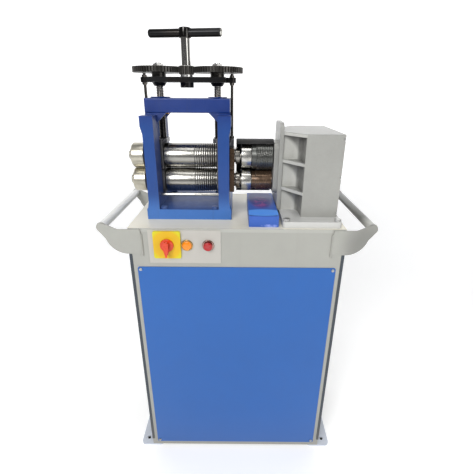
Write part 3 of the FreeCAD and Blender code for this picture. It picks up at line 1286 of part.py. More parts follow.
def drip_box():
    """Blue sheet box on the deck under the couplings, open below."""
    outer = box(DRIP_LEFT, DRIP_RIGHT, DRIP_FRONT, DRIP_BACK, DECK_TOP, DECK_TOP + DRIP_HEIGHT)
    outer = rounded(outer, DRIP_WALL, V(0, 0, 1))
    inner = box(DRIP_LEFT + DRIP_WALL, DRIP_RIGHT - DRIP_WALL, DRIP_FRONT + DRIP_WALL, DRIP_BACK - DRIP_WALL,
                DECK_TOP - SHEET, DECK_TOP + DRIP_HEIGHT - DRIP_WALL)
    return outer.cut(inner)


# ---------------------------------------------------------------- gearbox
def cap_screw_places():
    """Y and Z of the four screws of the bearing cap."""
    y = CAP_HALF - COVER_SCREW_INSET
    return [(end * y, z) for end in SIDES for z in (LOWER_Z - CAP_LOW + COVER_SCREW_INSET,
                                                    UPPER_Z + CAP_TOP - COVER_SCREW_INSET)]


def side_screw_places():
    """Y and Z of the screws of the side cover."""
    y = CASE_HALF - CASE_WALL / 2.0
    levels = (CASE_BASE_TOP + COVER_SCREW_INSET, (CASE_BASE_TOP + CASE_TOP) / 2.0,
              CASE_TOP - COVER_SCREW_INSET)
    return [(end * y, z) for end in SIDES for z in levels]


def rib(z):
    """Flat rib round the neck; its front edge runs diagonally from the face to the block."""
    half = CASE_RIB / 2.0
    points = [V(FACE_RIGHT, -FACE_HALF, z - half), V(BLOCK_LEFT, -CASE_HALF, z - half),
              V(BLOCK_LEFT, CASE_HALF, z - half), V(FACE_RIGHT, FACE_HALF, z - half)]
    return Part.Face(Part.makePolygon(points + [points[0]])).extrude(V(0, 0, CASE_RIB))


def case_neck():
    """Neck between the face and the block up to the top rib, flared where it meets the block."""
    low = CASE_BASE_TOP
    left = BLOCK_LEFT - NECK_FLARE
    wide = NECK_HALF + NECK_FLARE
    bend = NECK_FLARE * math.cos(math.pi / 4.0)
    front = [V(left, -NECK_HALF, low), V(left + bend, bend - wide, low), V(BLOCK_LEFT, -wide, low)]
    back = [V(BLOCK_LEFT, wide, low), V(left + bend, wide - bend, low), V(left, NECK_HALF, low)]
    face_front = V(FACE_RIGHT, -NECK_HALF, low)
    face_back = V(FACE_RIGHT, NECK_HALF, low)
    edges = [Part.makeLine(face_front, front[0]), Part.Arc(*front).toShape(),
             Part.makeLine(front[2], back[0]), Part.Arc(*back).toShape(),
             Part.makeLine(back[2], face_back), Part.makeLine(face_back, face_front)]
    return Part.Face(Part.Wire(edges)).extrude(V(0, 0, CASE_RIB_HEIGHTS[-1] - low))


def case_block(x_low, x_high):
    """Block of the gearbox between two X values, with its upper edges rounded."""
    block = mid_box(x_low, x_high, CASE_HALF, CASE_BASE_TOP, CASE_TOP)
    top = (CASE_BASE_TOP + CASE_TOP) / 2.0
    edges = [edge for edge in block.Edges if along(edge, V(1, 0, 0)) and edge.CenterOfMass.z > top]
    return block.makeFillet(CASE_EDGE, edges)


def gearbox_case():
    """Casting: ribbed neck with a face flange, and a block with a gear chamber and a belt bay."""
    face = mid_box(FACE_LEFT, FACE_RIGHT, FACE_HALF, CASE_BASE_TOP, FACE_TOP)
    face = rounded(face, FACE_CORNER, V(1, 0, 0)).fuse(
        mid_box(FACE_LEFT, FACE_RIGHT, FACE_HALF, CASE_BASE_TOP, CASE_BASE_TOP + FACE_CORNER))
    block = case_block(BLOCK_LEFT, CASE_RIGHT)
    base = mid_box(BASE_LEFT, BASE_RIGHT, BASE_HALF, DECK_TOP, CASE_BASE_TOP)
    base = rounded(base, BASE_CORNER, V(0, 0, 1))
    body = fuse([face, block, case_neck(), base] + [rib(z) for z in CASE_RIB_HEIGHTS])
    tools = [mid_box(CHAMBER_LEFT, LID_LEFT, CASE_HALF - CHAMBER_WALL, CHAMBER_FLOOR,
                     CASE_TOP - CHAMBER_WALL),
             mid_box(LID_LEFT, CASE_RIGHT + SHEET, CASE_HALF - CASE_WALL, CASE_BASE_TOP,
                     CASE_TOP - CASE_WALL),
             belt_slot(DECK_TOP - SHEET, CASE_TOP - CHAMBER_WALL)]
    for z in (LOWER_Z, UPPER_Z):
        tools.append(x_rod(DRIVE_SHAFT_R + FREE, FACE_LEFT - SHEET, CHAMBER_LEFT + SHEET, 0, z))
        for x in (FACE_LEFT, BLOCK_LEFT - DRIVE_BUSH):
            tools.append(x_rod(DRIVE_BUSH_R + SEAT, x, x + DRIVE_BUSH, 0, z))
    tools.append(x_rod(INPUT_BUSH_R + SEAT, INPUT_BUSH_LEFT, CHAMBER_LEFT + SHEET, INPUT_Y, INPUT_Z))
    screw_end = CAP_LEFT + COVER_SCREW_HEAD + COVER_SCREW_LENGTH
    tools += [x_rod(COVER_SCREW_R + SEAT, FACE_LEFT - SHEET, screw_end, y, z) for y, z in cap_screw_places()]
    for y, z in side_screw_places():
        tools.append(x_rod(COVER_SCREW_R + SEAT, CASE_RIGHT - COVER_SCREW_LENGTH, CASE_RIGHT + SHEET, y, z))
    for x, y in base_bolt_places():
        tools.append(z_rod(BED_BOLT_R + HOLE_PLAY, DECK_TOP - SHEET, CASE_BASE_TOP + SHEET, x, y))
    return body.cut(Part.makeCompound(tools)).removeSplitter()


def bearing_cap():
    """Plate over the bushes on the coupling side."""
    plate = mid_box(CAP_LEFT, FACE_LEFT, CAP_HALF, LOWER_Z - CAP_LOW, UPPER_Z + CAP_TOP)
    plate = rounded(plate, CAP_CORNER, V(1, 0, 0))
    tools = []
    for z in (LOWER_Z, UPPER_Z):
        tools.append(x_rod(DRIVE_SHAFT_R + FREE, CAP_LEFT - SHEET, FACE_LEFT + SHEET, 0, z))
    for y, z in cap_screw_places():
        tools.append(x_rod(COVER_SCREW_R + SEAT, CAP_LEFT, FACE_LEFT + SHEET, y, z))
        tools.append(x_rod(COVER_SCREW_HEAD_R + HOLE_PLAY, CAP_LEFT - SHEET,
                           CAP_LEFT + COVER_SCREW_HEAD, y, z))
    return plate.cut(Part.makeCompound(tools))


def gear_chamber_lid():
    """Inner wall between the gears and the belt, with two bush seats."""
    plate = mid_box(LID_LEFT, LID_RIGHT, CASE_HALF - CASE_WALL, CASE_BASE_TOP, CASE_TOP - CASE_WALL)
    tools = [x_rod(END_BUSH_R + SEAT, LID_LEFT - SHEET, LID_RIGHT + SHEET, 0, LOWER_Z),
             x_rod(INPUT_BUSH_R + SEAT, LID_LEFT - SHEET, LID_RIGHT + SHEET, INPUT_Y, INPUT_Z)]
    return plate.cut(Part.makeCompound(tools))


def gearbox_side_cover():
    """Flat cover over the belt bay on the right, with its screws sunk."""
    plate = case_block(CASE_RIGHT, CASE_RIGHT + SIDE_COVER_THICK)
    outer = CASE_RIGHT + SIDE_COVER_THICK
    tools = []
    for y, z in side_screw_places():
        tools.append(x_rod(COVER_SCREW_R + SEAT, CASE_RIGHT - SHEET, outer, y, z))
        tools.append(x_rod(COVER_SCREW_HEAD_R + HOLE_PLAY, outer - COVER_SCREW_HEAD, outer + SHEET, y, z))
    return plate.cut(Part.makeCompound(tools))


def cover_screws():
    """Screws of the bearing cap and of the side cover."""
    seats = [(CAP_LEFT + COVER_SCREW_HEAD, y, z, -1) for y, z in cap_screw_places()]
    side_seat = CASE_RIGHT + SIDE_COVER_THICK - COVER_SCREW_HEAD
    seats += [(side_seat, y, z, 1) for y, z in side_screw_places()]
    return group([screw(COVER_SCREW_R, COVER_SCREW_HEAD_R, COVER_SCREW_HEAD, COVER_SCREW_LENGTH,
                        V(x, y, z), V(way, 0, 0)) for x, y, z, way in seats])


def bed_bolts():
    """Eight bolts that hold the roll stand and the gearbox on the deck."""
    up = V(0, 0, 1)
    bolts = [bolt(BED_BOLT_R, BED_BOLT_HEAD_R, BED_BOLT_HEAD, MILL_BASE_HEIGHT + BED_BOLT_GRIP,
                  V(x, y, BASE_TOP), up) for x, y in mill_bolt_places()]
    bolts += [bolt(BED_BOLT_R, BED_BOLT_HEAD_R, BED_BOLT_HEAD, BASE_THICK + BED_BOLT_GRIP,
                   V(x, y, CASE_BASE_TOP), up) for x, y in base_bolt_places()]
    return group(bolts)


# ---------------------------------------------------------------- motor
def motor_shelf():
    """Shelf across the cabinet with folded ends on its side walls."""
    inner = SIDE - SHEET
    pieces = [box(-inner, inner, SHELF_FRONT, BACK - SHEET, SHELF_TOP - SHELF_THICK, SHELF_TOP)]
    for side in SIDES:
        near = side * inner
        far = side * (inner - SHELF_THICK)
        pieces.append(box(min(near, far), max(near, far), SHELF_FRONT, BACK - SHEET,
                          SHELF_TOP - SHELF_LIP, SHELF_TOP - SHELF_THICK))
    return fuse(pieces)


def motor_frame():
    """Finned motor body with two feet, and the cowl over its fan."""
    body = x_rod(MOTOR_R, MOTOR_LEFT, MOTOR_RIGHT, INPUT_Y, MOTOR_AXIS_Z)
    fins = []
    start = (MOTOR_LEFT + MOTOR_RIGHT - FIN_LENGTH) / 2.0
    for number in range(FIN_COUNT):
        fin = box(start, start + FIN_LENGTH, INPUT_Y - FIN_THICK / 2.0, INPUT_Y + FIN_THICK / 2.0,
                  MOTOR_AXIS_Z + MOTOR_R - FIN_ROOT, MOTOR_AXIS_Z + MOTOR_R + FIN_HEIGHT)
        fin.rotate(V(start, INPUT_Y, MOTOR_AXIS_Z), V(1, 0, 0), 360.0 * (number + 0.5) / FIN_COUNT)
        fins.append(fin)
    feet = []
    for x in (start, start + FIN_LENGTH - MOTOR_FOOT_LENGTH):
        feet.append(box(x, x + MOTOR_FOOT_LENGTH, INPUT_Y - MOTOR_FOOT_WIDTH / 2.0,
                        INPUT_Y + MOTOR_FOOT_WIDTH / 2.0, SHELF_TOP, SHELF_TOP + MOTOR_FOOT_THICK))
        feet.append(box(x, x + MOTOR_FOOT_LENGTH, INPUT_Y - MOTOR_R / 2.0, INPUT_Y + MOTOR_R / 2.0,
                        SHELF_TOP, MOTOR_AXIS_Z - MOTOR_R / 2.0))
    cowl = x_rod(COWL_R, MOTOR_LEFT - COWL_LENGTH, MOTOR_LEFT, INPUT_Y, MOTOR_AXIS_Z)
    cowl = cowl.cut(x_rod(COWL_R - COWL_WALL, MOTOR_LEFT - COWL_LENGTH + COWL_WALL, MOTOR_LEFT + SHEET,
                          INPUT_Y, MOTOR_AXIS_Z))
    collar = x_rod(COWL_R, MOTOR_LEFT, MOTOR_LEFT + COWL_WALL, INPUT_Y, MOTOR_AXIS_Z)
    return group([fuse([body, collar] + fins + feet), cowl])


def motor_gearhead():
    """Reducer flanged on the drive end of the motor."""
    block = box(MOTOR_RIGHT, HEAD_RIGHT, INPUT_Y - HEAD_HALF, INPUT_Y + HEAD_HALF,
                MOTOR_AXIS_Z - HEAD_HALF, MOTOR_AXIS_Z + HEAD_HALF)
    block = rounded(block, HEAD_EDGE, V(1, 0, 0))
    return block.cut(x_rod(MOTOR_SHAFT_R + RUNNING, HEAD_RIGHT - MOTOR_SHAFT_DEEP, HEAD_RIGHT + SHEET,
                           INPUT_Y, MOTOR_AXIS_Z))


def motor_shaft():
    """Output shaft of the geared motor."""
    return x_rod(MOTOR_SHAFT_R, HEAD_RIGHT - MOTOR_SHAFT_DEEP + FREE, PULLEY_LEFT + PULLEY_WIDTH,
                 INPUT_Y, MOTOR_AXIS_Z)


NODES = {
    "cabinet_shell": cabinet_shell,
    "deck_plate": deck_plate,
    "front_panel": front_panel,
    "rear_panel": rear_panel,
    "panel_screws": panel_screws,
    "edge_trims": edge_trims,
    "foot_flanges": foot_flanges,
    "handle_brackets": handle_brackets,
    "handle_tubes": handle_tubes,
    "control_plate": control_plate,
    "isolator_plate": isolator_plate,
    "isolator_knob": isolator_knob,
    "pilot_lamp": pilot_lamp,
    "stop_bezel": stop_bezel,
    "stop_button": stop_button,
    "switch_blocks": switch_blocks,
    "mill_body": mill_body,
    "screw_nuts": screw_nuts,
    "feed_bar": feed_bar,
    "lower_chocks": lower_chocks,
    "upper_chocks": upper_chocks,
    "bronze_bushes": bronze_bushes,
    "upper_bushes": upper_bushes,
    "lower_roll": lambda: roll(LOWER_Z),
    "upper_roll": lambda: roll(UPPER_Z),
    "lower_side_roll": lambda: side_roll(LOWER_Z),
    "upper_side_roll": lambda: side_roll(UPPER_Z),
    "lower_coupling_ring": lambda: coupling_ring(LOWER_Z, LOWER_RING_R),
    "upper_coupling_ring": lambda: coupling_ring(UPPER_Z, UPPER_RING_R),
    "lower_coupling_sleeve": lambda: sleeve(LOWER_Z, LOWER_SLEEVE_R, False),
    "upper_coupling_sleeve": lambda: sleeve(UPPER_Z, UPPER_SLEEVE_R, True),
    "lower_pinion_shaft": lambda: pinion_shaft(LOWER_Z, math.pi / 2.0, True),
    "upper_pinion_shaft": lambda: pinion_shaft(
        UPPER_Z, meshed_phase(math.pi / 2.0, math.pi / 2.0, DRIVE_TEETH, DRIVE_TEETH), False),
    "bull_gear": bull_gear,
    "input_pinion_shaft": input_pinion_shaft,
    "input_pulley": lambda: pulley(INPUT_PULLEY_R, INPUT_Z, INPUT_SHAFT_R),
    "motor_pulley": lambda: pulley(MOTOR_PULLEY_R, MOTOR_AXIS_Z, MOTOR_SHAFT_R),
    "motor_shaft": motor_shaft,
    "drive_belt": drive_belt,
    "left_pressure_screw": lambda: pressure_screw(-1),
    "right_pressure_screw": lambda: pressure_screw(1),
    "left_screw_gear": lambda: screw_gear(-1),
    "right_screw_gear": lambda: screw_gear(1),
    "bridge_plate": bridge_plate,
    "spindle_bush": spindle_bush,
    "pull_rods": pull_rods,
    "adjusting_spindle": adjusting_spindle,
    "adjusting_pinion": adjusting_pinion,
    "t_bar": t_bar,
    "coupling_guard": coupling_guard,
    "drip_box": drip_box,
    "gearbox_case": gearbox_case,
    "bearing_cap": bearing_cap,
    "gear_chamber_lid": gear_chamber_lid,
    "gearbox_side_cover": gearbox_side_cover,
    "cover_screws": cover_screws,
    "bed_bolts": bed_bolts,
    "motor_shelf": motor_shelf,
    "motor_frame": motor_frame,
    "motor_gearhead": motor_gearhead,
}


def main():
    """Write one STEP file for each node."""
    os.makedirs("parts", exist_ok=True)
    for name, make in NODES.items():
        shape = make()
        shape.exportStep("parts/" + name + ".step")
        print(name, "solids", len(shape.Solids), "valid", shape.isValid(), "volume", round(shape.Volume, 1))


main()
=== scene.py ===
"""Looks of a powered jewellers rolling mill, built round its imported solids.

The mill stands on a sheet steel cabinet. Each sub-assembly is a class: its sizes are fields, and its
methods build the surfaces and give them their finish. All lengths are in metres, with +X to the
gearbox, +Y to the back and +Z up.
"""

from __future__ import annotations

import json
import logging
import math
from dataclasses import dataclass
from enum import Enum
from typing import Any, Optional, Sequence, Union

import bmesh
import bpy
import numpy as np
from mathutils import Matrix, Vector

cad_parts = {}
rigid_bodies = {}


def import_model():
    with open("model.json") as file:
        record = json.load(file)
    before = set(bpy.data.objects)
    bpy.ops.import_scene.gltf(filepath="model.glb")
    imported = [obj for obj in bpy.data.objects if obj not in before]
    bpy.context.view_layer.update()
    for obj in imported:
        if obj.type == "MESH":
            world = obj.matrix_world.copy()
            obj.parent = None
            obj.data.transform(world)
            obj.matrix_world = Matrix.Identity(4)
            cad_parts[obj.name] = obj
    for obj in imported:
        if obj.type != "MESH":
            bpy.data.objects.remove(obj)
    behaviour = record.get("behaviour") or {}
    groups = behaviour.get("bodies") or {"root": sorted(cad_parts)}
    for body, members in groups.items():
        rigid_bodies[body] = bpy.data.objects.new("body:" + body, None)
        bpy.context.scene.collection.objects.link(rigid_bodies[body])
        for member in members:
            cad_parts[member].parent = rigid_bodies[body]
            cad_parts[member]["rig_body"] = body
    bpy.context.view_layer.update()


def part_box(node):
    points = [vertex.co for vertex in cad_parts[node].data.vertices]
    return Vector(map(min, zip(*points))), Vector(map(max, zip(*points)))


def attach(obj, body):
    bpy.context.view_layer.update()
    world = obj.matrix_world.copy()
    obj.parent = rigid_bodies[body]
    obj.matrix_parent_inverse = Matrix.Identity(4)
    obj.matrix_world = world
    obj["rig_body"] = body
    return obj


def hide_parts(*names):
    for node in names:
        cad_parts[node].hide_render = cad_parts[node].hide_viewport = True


log = logging.getLogger("rolling_mill")

Triple = tuple[float, float, float]
Profile = Sequence[tuple[float, float]]


class Axis(Enum):
    """Direction that a turned piece or a plate is built along."""

    X = 0
    Y = 1
    Z = 2

    def placed(self, along: np.ndarray, first: np.ndarray, second: np.ndarray) -> np.ndarray:
        """Points from a length along this axis and two lengths across it, in right-handed order.

        Args:
            along: lengths on the axis.
            first: lengths on the next axis of X, Y, Z.
            second: lengths on the axis after that.

        Returns:
            The points, with their three coordinates last.
        """
        parts = np.broadcast_arrays(along, first, second)
        points = np.empty(parts[0].shape + (3,))
        for step, part in enumerate(parts):
            points[..., (self.value + step) % 3] = part
        return points

    def stretch(self, lines: float, across: float) -> Triple:
        """Pattern scales that draw lines round this axis: close together along it, long across it.

        Args:
            lines: scale along this axis.
            across: scale along the other two.

        Returns:
            The three scales.
        """
        scales = [across, across, across]
        scales[self.value] = lines
        return (scales[0], scales[1], scales[2])


def paint(red: int, green: int, blue: int) -> Triple:
    """Linear colour from the usual 0 to 255 values of a colour chart.

    Args:
        red: red value.
        green: green value.
        blue: blue value.

    Returns:
        The colour as three linear numbers.
    """
    shares = np.array([red, green, blue]) / 255.0
    linear = np.where(shares <= 0.04045, shares / 12.92, ((shares + 0.055) / 1.055) ** 2.4)
    return (float(linear[0]), float(linear[1]), float(linear[2]))


# ------------------------------------------------------------------ surfaces
@dataclass
class Surface:
    """Corner points and faces of a mesh, held as whole arrays."""

    points: np.ndarray
    corners: np.ndarray
    totals: np.ndarray
    strip: np.ndarray

    @staticmethod
    def grid(points: np.ndarray, close_rows: bool = False, close_columns: bool = False,
             rows_worn: Optional[np.ndarray] = None) -> Surface:
        """Quads between the neighbours of a grid of points.

        Args:
            points: rows by columns by three coordinates.
            close_rows: whether the last row joins the first.
            close_columns: whether the last column joins the first.
            rows_worn: how worn the faces of each row are, from 0 to 1.

        Returns:
            The surface.
        """
        number = np.arange(points.shape[0] * points.shape[1]).reshape(points.shape[:2])
        if close_rows:
            number = np.concatenate([number, number[:1]])
        if close_columns:
            number = np.concatenate([number, number[:, :1]], axis=1)
        quads = np.stack([number[:-1, :-1], number[1:, :-1], number[1:, 1:], number[:-1, 1:]], axis=-1)
        worn = np.zeros(quads.shape[:2])
        if rows_worn is not None:
            worn += rows_worn[:, None]
        quads = quads.reshape(-1, 4)
        return Surface(points.reshape(-1, 3), quads.ravel(), np.full(len(quads), 4), worn.ravel())

    @staticmethod
    def face(ring: np.ndarray) -> Surface:
        """One flat face on a closed ring of points."""
        return Surface(ring, np.arange(len(ring)), np.array([len(ring)]), np.zeros(1))

    @staticmethod
    def joined(surfaces: Sequence[Surface]) -> Surface:
        """Several surfaces as one, each keeping its own points.

        Args:
            surfaces: the surfaces.

        Returns:
            The joined surface.
        """
        shifts = np.cumsum([0] + [len(one.points) for one in surfaces[:-1]])
        return Surface(np.concatenate([one.points for one in surfaces]),
                       np.concatenate([one.corners + shift for one, shift in zip(surfaces, shifts)]),
                       np.concatenate([one.totals for one in surfaces]),
                       np.concatenate([one.strip for one in surfaces]))

    @staticmethod
    def capped(rings: np.ndarray, rows_worn: Optional[np.ndarray] = None) -> Surface:
        """A closed wall through rings of points, with a flat face on the first ring and on the last.

        Args:
            rings: rings by points by three coordinates.
            rows_worn: how worn the wall is between two rings, from 0 to 1.

        Returns:
            The closed surface.
        """
        wall = Surface.grid(rings, close_columns=True, rows_worn=rows_worn)
        return Surface.joined([wall, Surface.face(rings[0][::-1]), Surface.face(rings[-1])])

    def turned(self, axis: Axis, degrees: float, about: Triple) -> Surface:
        """The same surface turned about a line: the two lengths across the axis take a plane rotation.

        Args:
            axis: direction of the line.
            degrees: angle, right-handed.
            about: a point of the line.

        Returns:
            The turned surface.
        """
        angle = math.radians(degrees)
        first = (axis.value + 1) % 3
        second = (axis.value + 2) % 3
        rest = self.points - np.array(about)
        made = rest.copy()
        made[:, first] = rest[:, first] * math.cos(angle) - rest[:, second] * math.sin(angle)
        made[:, second] = rest[:, first] * math.sin(angle) + rest[:, second] * math.cos(angle)
        return Surface(made + np.array(about), self.corners, self.totals, self.strip)

    def mesh(self, name: str) -> bpy.types.Mesh:
        """The surface as a mesh: points put in, seams and poles merged, faces turned outwards.

        Args:
            name: name of the mesh.

        Returns:
            The mesh.
        """
        mesh = bpy.data.meshes.new(name)
        mesh.vertices.add(len(self.points))
        mesh.vertices.foreach_set("co", self.points.astype(np.float32).ravel())
        mesh.loops.add(len(self.corners))
        mesh.loops.foreach_set("vertex_index", self.corners.astype(np.int32))
        mesh.polygons.add(len(self.totals))
        starts = np.concatenate([[0], np.cumsum(self.totals)[:-1]])
        mesh.polygons.foreach_set("loop_start", starts.astype(np.int32))
        mesh.polygons.foreach_set("loop_total", self.totals.astype(np.int32))
        mesh.update(calc_edges=True)
        worn = mesh.attributes.new("edge_strip", "FLOAT", "FACE")
        worn.data.foreach_set("value", self.strip.astype(np.float32))
        work = bmesh.new()
        work.from_mesh(mesh)
        bmesh.ops.remove_doubles(work, verts=work.verts, dist=2e-6)
        bmesh.ops.dissolve_degenerate(work, edges=work.edges, dist=1e-6)
        bmesh.ops.recalc_face_normals(work, faces=work.faces)
        work.to_mesh(mesh)
        work.free()
        return mesh

    def piece(self, name: str, body: str) -> bpy.types.Object:
        """The surface as a piece that rides on a body."""
        return settled(name, self.mesh(name), body, 35.0)

    def stand_in(self, node: str, body: str) -> bpy.types.Object:
        """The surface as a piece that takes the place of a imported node.

        Args:
            node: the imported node.
            body: the body that it rides on.

        Returns:
            The piece.
        """
        piece = self.piece(node + "_body", body)
        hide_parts(node)
        return piece


def shown(name: str, data: Any) -> bpy.types.Object:
    """A new object of the given data, put in the scene.

    Args:
        name: name of the object.
        data: its mesh, light or camera.

    Returns:
        The object.
    """
    made = bpy.data.objects.new(name, data)
    bpy.context.scene.collection.objects.link(made)
    return made


def settled(name: str, mesh: bpy.types.Mesh, body: str, crease: float) -> bpy.types.Object:
    """Puts a new piece in the scene, shades it and lets it ride on its body.

    Args:
        name: name of the piece.
        mesh: its mesh.
        body: the body that it rides on.
        crease: angle in degrees past which an edge stays crisp.

    Returns:
        The piece.
    """
    piece = shown(name, mesh)
    mesh.shade_smooth()
    mesh.set_sharp_from_angle(angle=math.radians(crease))
    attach(piece, body)
    log.info("%s: %d faces on %s", name, len(mesh.polygons), body)
    return piece


def circle(sides: int) -> np.ndarray:
    """Angles of equal steps round a circle, as one row."""
    return np.linspace(0.0, 2 * math.pi, sides, endpoint=False)[None, :]


def eased(line: Profile, radius: float, steps: int = 3, closed: bool = False) -> np.ndarray:
    """A line with each corner cut by a small curve.

    The curve starts and ends a tangent length from the corner and follows
    (1 - s)^2 A + 2 s (1 - s) C + s^2 B, with C the corner and A and B the two ends.

    Args:
        line: the corners.
        radius: tangent length, at most 0.45 of the shorter side.
        steps: points per corner beyond the first.
        closed: whether the last corner joins the first.

    Returns:
        The points of the eased line.
    """
    corner = np.asarray(line, float)
    back = np.roll(corner, 1, axis=0) - corner
    ahead = np.roll(corner, -1, axis=0) - corner
    back_length = np.linalg.norm(back, axis=1, keepdims=True)
    ahead_length = np.linalg.norm(ahead, axis=1, keepdims=True)
    reach = np.minimum(radius, 0.45 * np.minimum(back_length, ahead_length))
    if not closed:
        reach[[0, -1]] = 0.0
    start = corner + back / np.maximum(back_length, 1e-12) * reach
    end = corner + ahead / np.maximum(ahead_length, 1e-12) * reach
    s = np.linspace(0.0, 1.0, steps + 1)[None, :, None]
    curve = (1 - s) ** 2 * start[:, None] + 2 * s * (1 - s) * corner[:, None] + s**2 * end[:, None]
    return curve.reshape(-1, corner.shape[1])


def cylinder(low: float, high: float, radius: float, chamfer: float) -> list[tuple[float, float]]:
    """Profile of a cylinder's side with both rims chamfered.

    Args:
        low: its lower end.
        high: its upper end.
        radius: its radius.
        chamfer: size of the chamfers.

    Returns:
        Four pairs of length and radius.
    """
    inner = radius - chamfer
    return [(low, inner), (low + chamfer, radius), (high - chamfer, radius), (high, inner)]


def groove(middle_at: float, half: float, radius: float, depth: float) -> list[tuple[float, float]]:
    """Profile of a V groove in a cylinder's side.

    Args:
        middle_at: place of its middle.
        half: half its width.
        radius: radius of the cylinder.
        depth: depth of the groove.

    Returns:
        Three pairs of length and radius.
    """
    return [(middle_at - half, radius), (middle_at, radius - depth), (middle_at + half, radius)]


def lathe(profile: Profile, axis: Axis, centre: Triple, sides: int, ease: float = 0.0) -> Surface:
    """A profile carried round an axis: radius cos t and radius sin t across it, for t round the circle.

    Args:
        profile: pairs of length along the axis and radius.
        axis: the axis.
        centre: a point that lengths are counted from.
        sides: steps round the circle.
        ease: softening of the profile's corners.

    Returns:
        The turned surface, closed where the profile reaches radius 0.
    """
    rim = eased(profile, ease) if ease else np.asarray(profile, float)
    t = circle(sides)
    radius = rim[:, 1:2]
    points = axis.placed(rim[:, :1], radius * np.cos(t), radius * np.sin(t))
    worn = np.tile([1.0, 1.0, 1.0, 0.0], len(profile))[:-1] if ease else None
    return Surface.grid(points + np.array(centre), close_columns=True, rows_worn=worn)


def thread(radius: float, pitch: float, depth: float, low: float, high: float, centre: Triple) -> Surface:
    """Right-hand thread about an upright axis, closed at both ends.

    At height h and angle t the radius is R - depth * w, where w goes from 0 to 1 and back once per pitch of
    h - pitch t / 2 pi, with a flat crest, and fades out over one pitch at each end.

    Args:
        radius: radius of the crests.
        pitch: rise of one turn.
        depth: depth of the roots.
        low: lower end.
        high: upper end.
        centre: a point of the axis that heights are counted from.

    Returns:
        The closed surface.
    """
    height = np.linspace(low, high, max(4, int((high - low) / pitch * 8)))[:, None]
    t = circle(40)
    phase = np.mod((height - low) / pitch - t / (2 * math.pi), 1.0)
    wave = np.clip(1.6 - 3.2 * np.abs(phase - 0.5), 0.0, 1.0)
    fade = np.clip(np.minimum(height - low, high - height) / pitch, 0.0, 1.0)
    out = radius - depth * wave * fade
    points = Axis.Z.placed(height, out * np.cos(t), out * np.sin(t)) + np.array(centre)
    return Surface.capped(points)


def outwards(outline: np.ndarray) -> np.ndarray:
    """Outward directions at the corners of an outline, long enough to shift both sides by one.

    Args:
        outline: anticlockwise points.

    Returns:
        One direction for each point.
    """
    before = outline - np.roll(outline, 1, axis=0)
    after = np.roll(outline, -1, axis=0) - outline
    before /= np.maximum(np.linalg.norm(before, axis=1, keepdims=True), 1e-12)
    after /= np.maximum(np.linalg.norm(after, axis=1, keepdims=True), 1e-12)
    first = np.stack([before[:, 1], -before[:, 0]], axis=1)
    second = np.stack([after[:, 1], -after[:, 0]], axis=1)
    share = 1.0 + np.sum(first * second, axis=1, keepdims=True)
    return (first + second) / np.maximum(share, 0.2)


def plate(outline: np.ndarray, axis: Axis, centre: Triple, low: float, high: float, rim: float,
          steps: int = 3) -> Surface:
    """An outline carried along an axis, with quarter-round rims.

    At angle a the ring is drawn in by rim (1 - cos a) and stands rim (1 - sin a) inside the end.

    Args:
        outline: anticlockwise points across the axis, seen against it.
        axis: the direction of the thickness.
        centre: the point that lengths are counted from.
        low: the lower end along the axis.
        high: the upper end along the axis.
        rim: radius of both rims.
        steps: steps of each quarter round.

    Returns:
        The closed surface.
    """
    angle = np.linspace(math.pi / 2, 0.0, steps + 1)
    inset = rim * (1 - np.cos(angle))
    rise = rim * (1 - np.sin(angle))
    inset = np.concatenate([inset, inset[::-1]])
    along = np.concatenate([low + rise, high - rise[::-1]])
    away = outwards(outline)
    ring = outline[None] - away[None] * inset[:, None, None]
    points = axis.placed(along[:, None], ring[..., 0], ring[..., 1]) + np.array(centre)
    worn = np.ones(len(along) - 1)
    worn[steps] = 0.0
    return Surface.capped(points, worn)


def bead(foot: Triple, height: float, radius: float, ripple: float) -> Surface:
    """Upright weld bead: a round rod whose radius swells and sinks once per ripple and tapers at its ends.

    Args:
        foot: lower end.
        height: height of the bead.
        radius: mean radius.
        ripple: height of one ripple.

    Returns:
        The closed surface.
    """
    s = np.linspace(0.0, 1.0, max(8, int(height / ripple * 4)))[:, None]
    taper = np.minimum(1.0, np.minimum(s, 1 - s) * height / radius + 0.3)
    swell = radius * taper * (1.0 + 0.10 * np.sin(s * height / ripple * 2 * math.pi))
    t = circle(10)
    return Surface.capped(Axis.Z.placed(s * height, swell * np.cos(t), swell * np.sin(t)) + foot)


def softened(node: str, width: float) -> bpy.types.Object:
    """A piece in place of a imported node, whose crisp outer edges are rounded off.

    The node's loose triangles are merged and flat ones joined. Each outward edge that bends by more than
    50 degrees and is longer than 3 widths gets a rounded strip, and the strip's faces carry the value 1 in
    the attribute edge_strip, where paint wears first.

    Args:
        node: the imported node.
        width: width of the rounding on both sides of an edge.

    Returns:
        The piece.
    """
    source = bpy.data.objects[node]
    name = node + "_body"
    mesh = source.data.copy()
    mesh.name = name
    work = bmesh.new()
    work.from_mesh(mesh)
    bmesh.ops.remove_doubles(work, verts=work.verts, dist=4e-6)
    bmesh.ops.dissolve_limit(work, angle_limit=math.radians(0.5), verts=work.verts, edges=work.edges,
                             use_dissolve_boundaries=False)
    bend = math.radians(50.0)
    crisp = [edge for edge in work.edges
             if len(edge.link_faces) == 2 and edge.is_convex
             and edge.calc_face_angle(0.0) > bend and edge.calc_length() > 3.0 * width]
    strip = work.faces.layers.float.new("edge_strip")
    if crisp:
        made = bmesh.ops.bevel(work, geom=crisp, offset=width, offset_type="OFFSET", segments=3,
                               profile=0.5, affect="EDGES", clamp_overlap=True, loop_slide=True)
        for face in made["faces"]:
            face[strip] = 1.0
    work.to_mesh(mesh)
    work.free()
    mesh.materials.clear()
    piece = settled(name, mesh, source["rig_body"], 38.0)
    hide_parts(node)
    flats = piece.modifiers.new("flat_faces", "WEIGHTED_NORMAL")
    flats.keep_sharp = True
    flats.weight = 90
    return piece


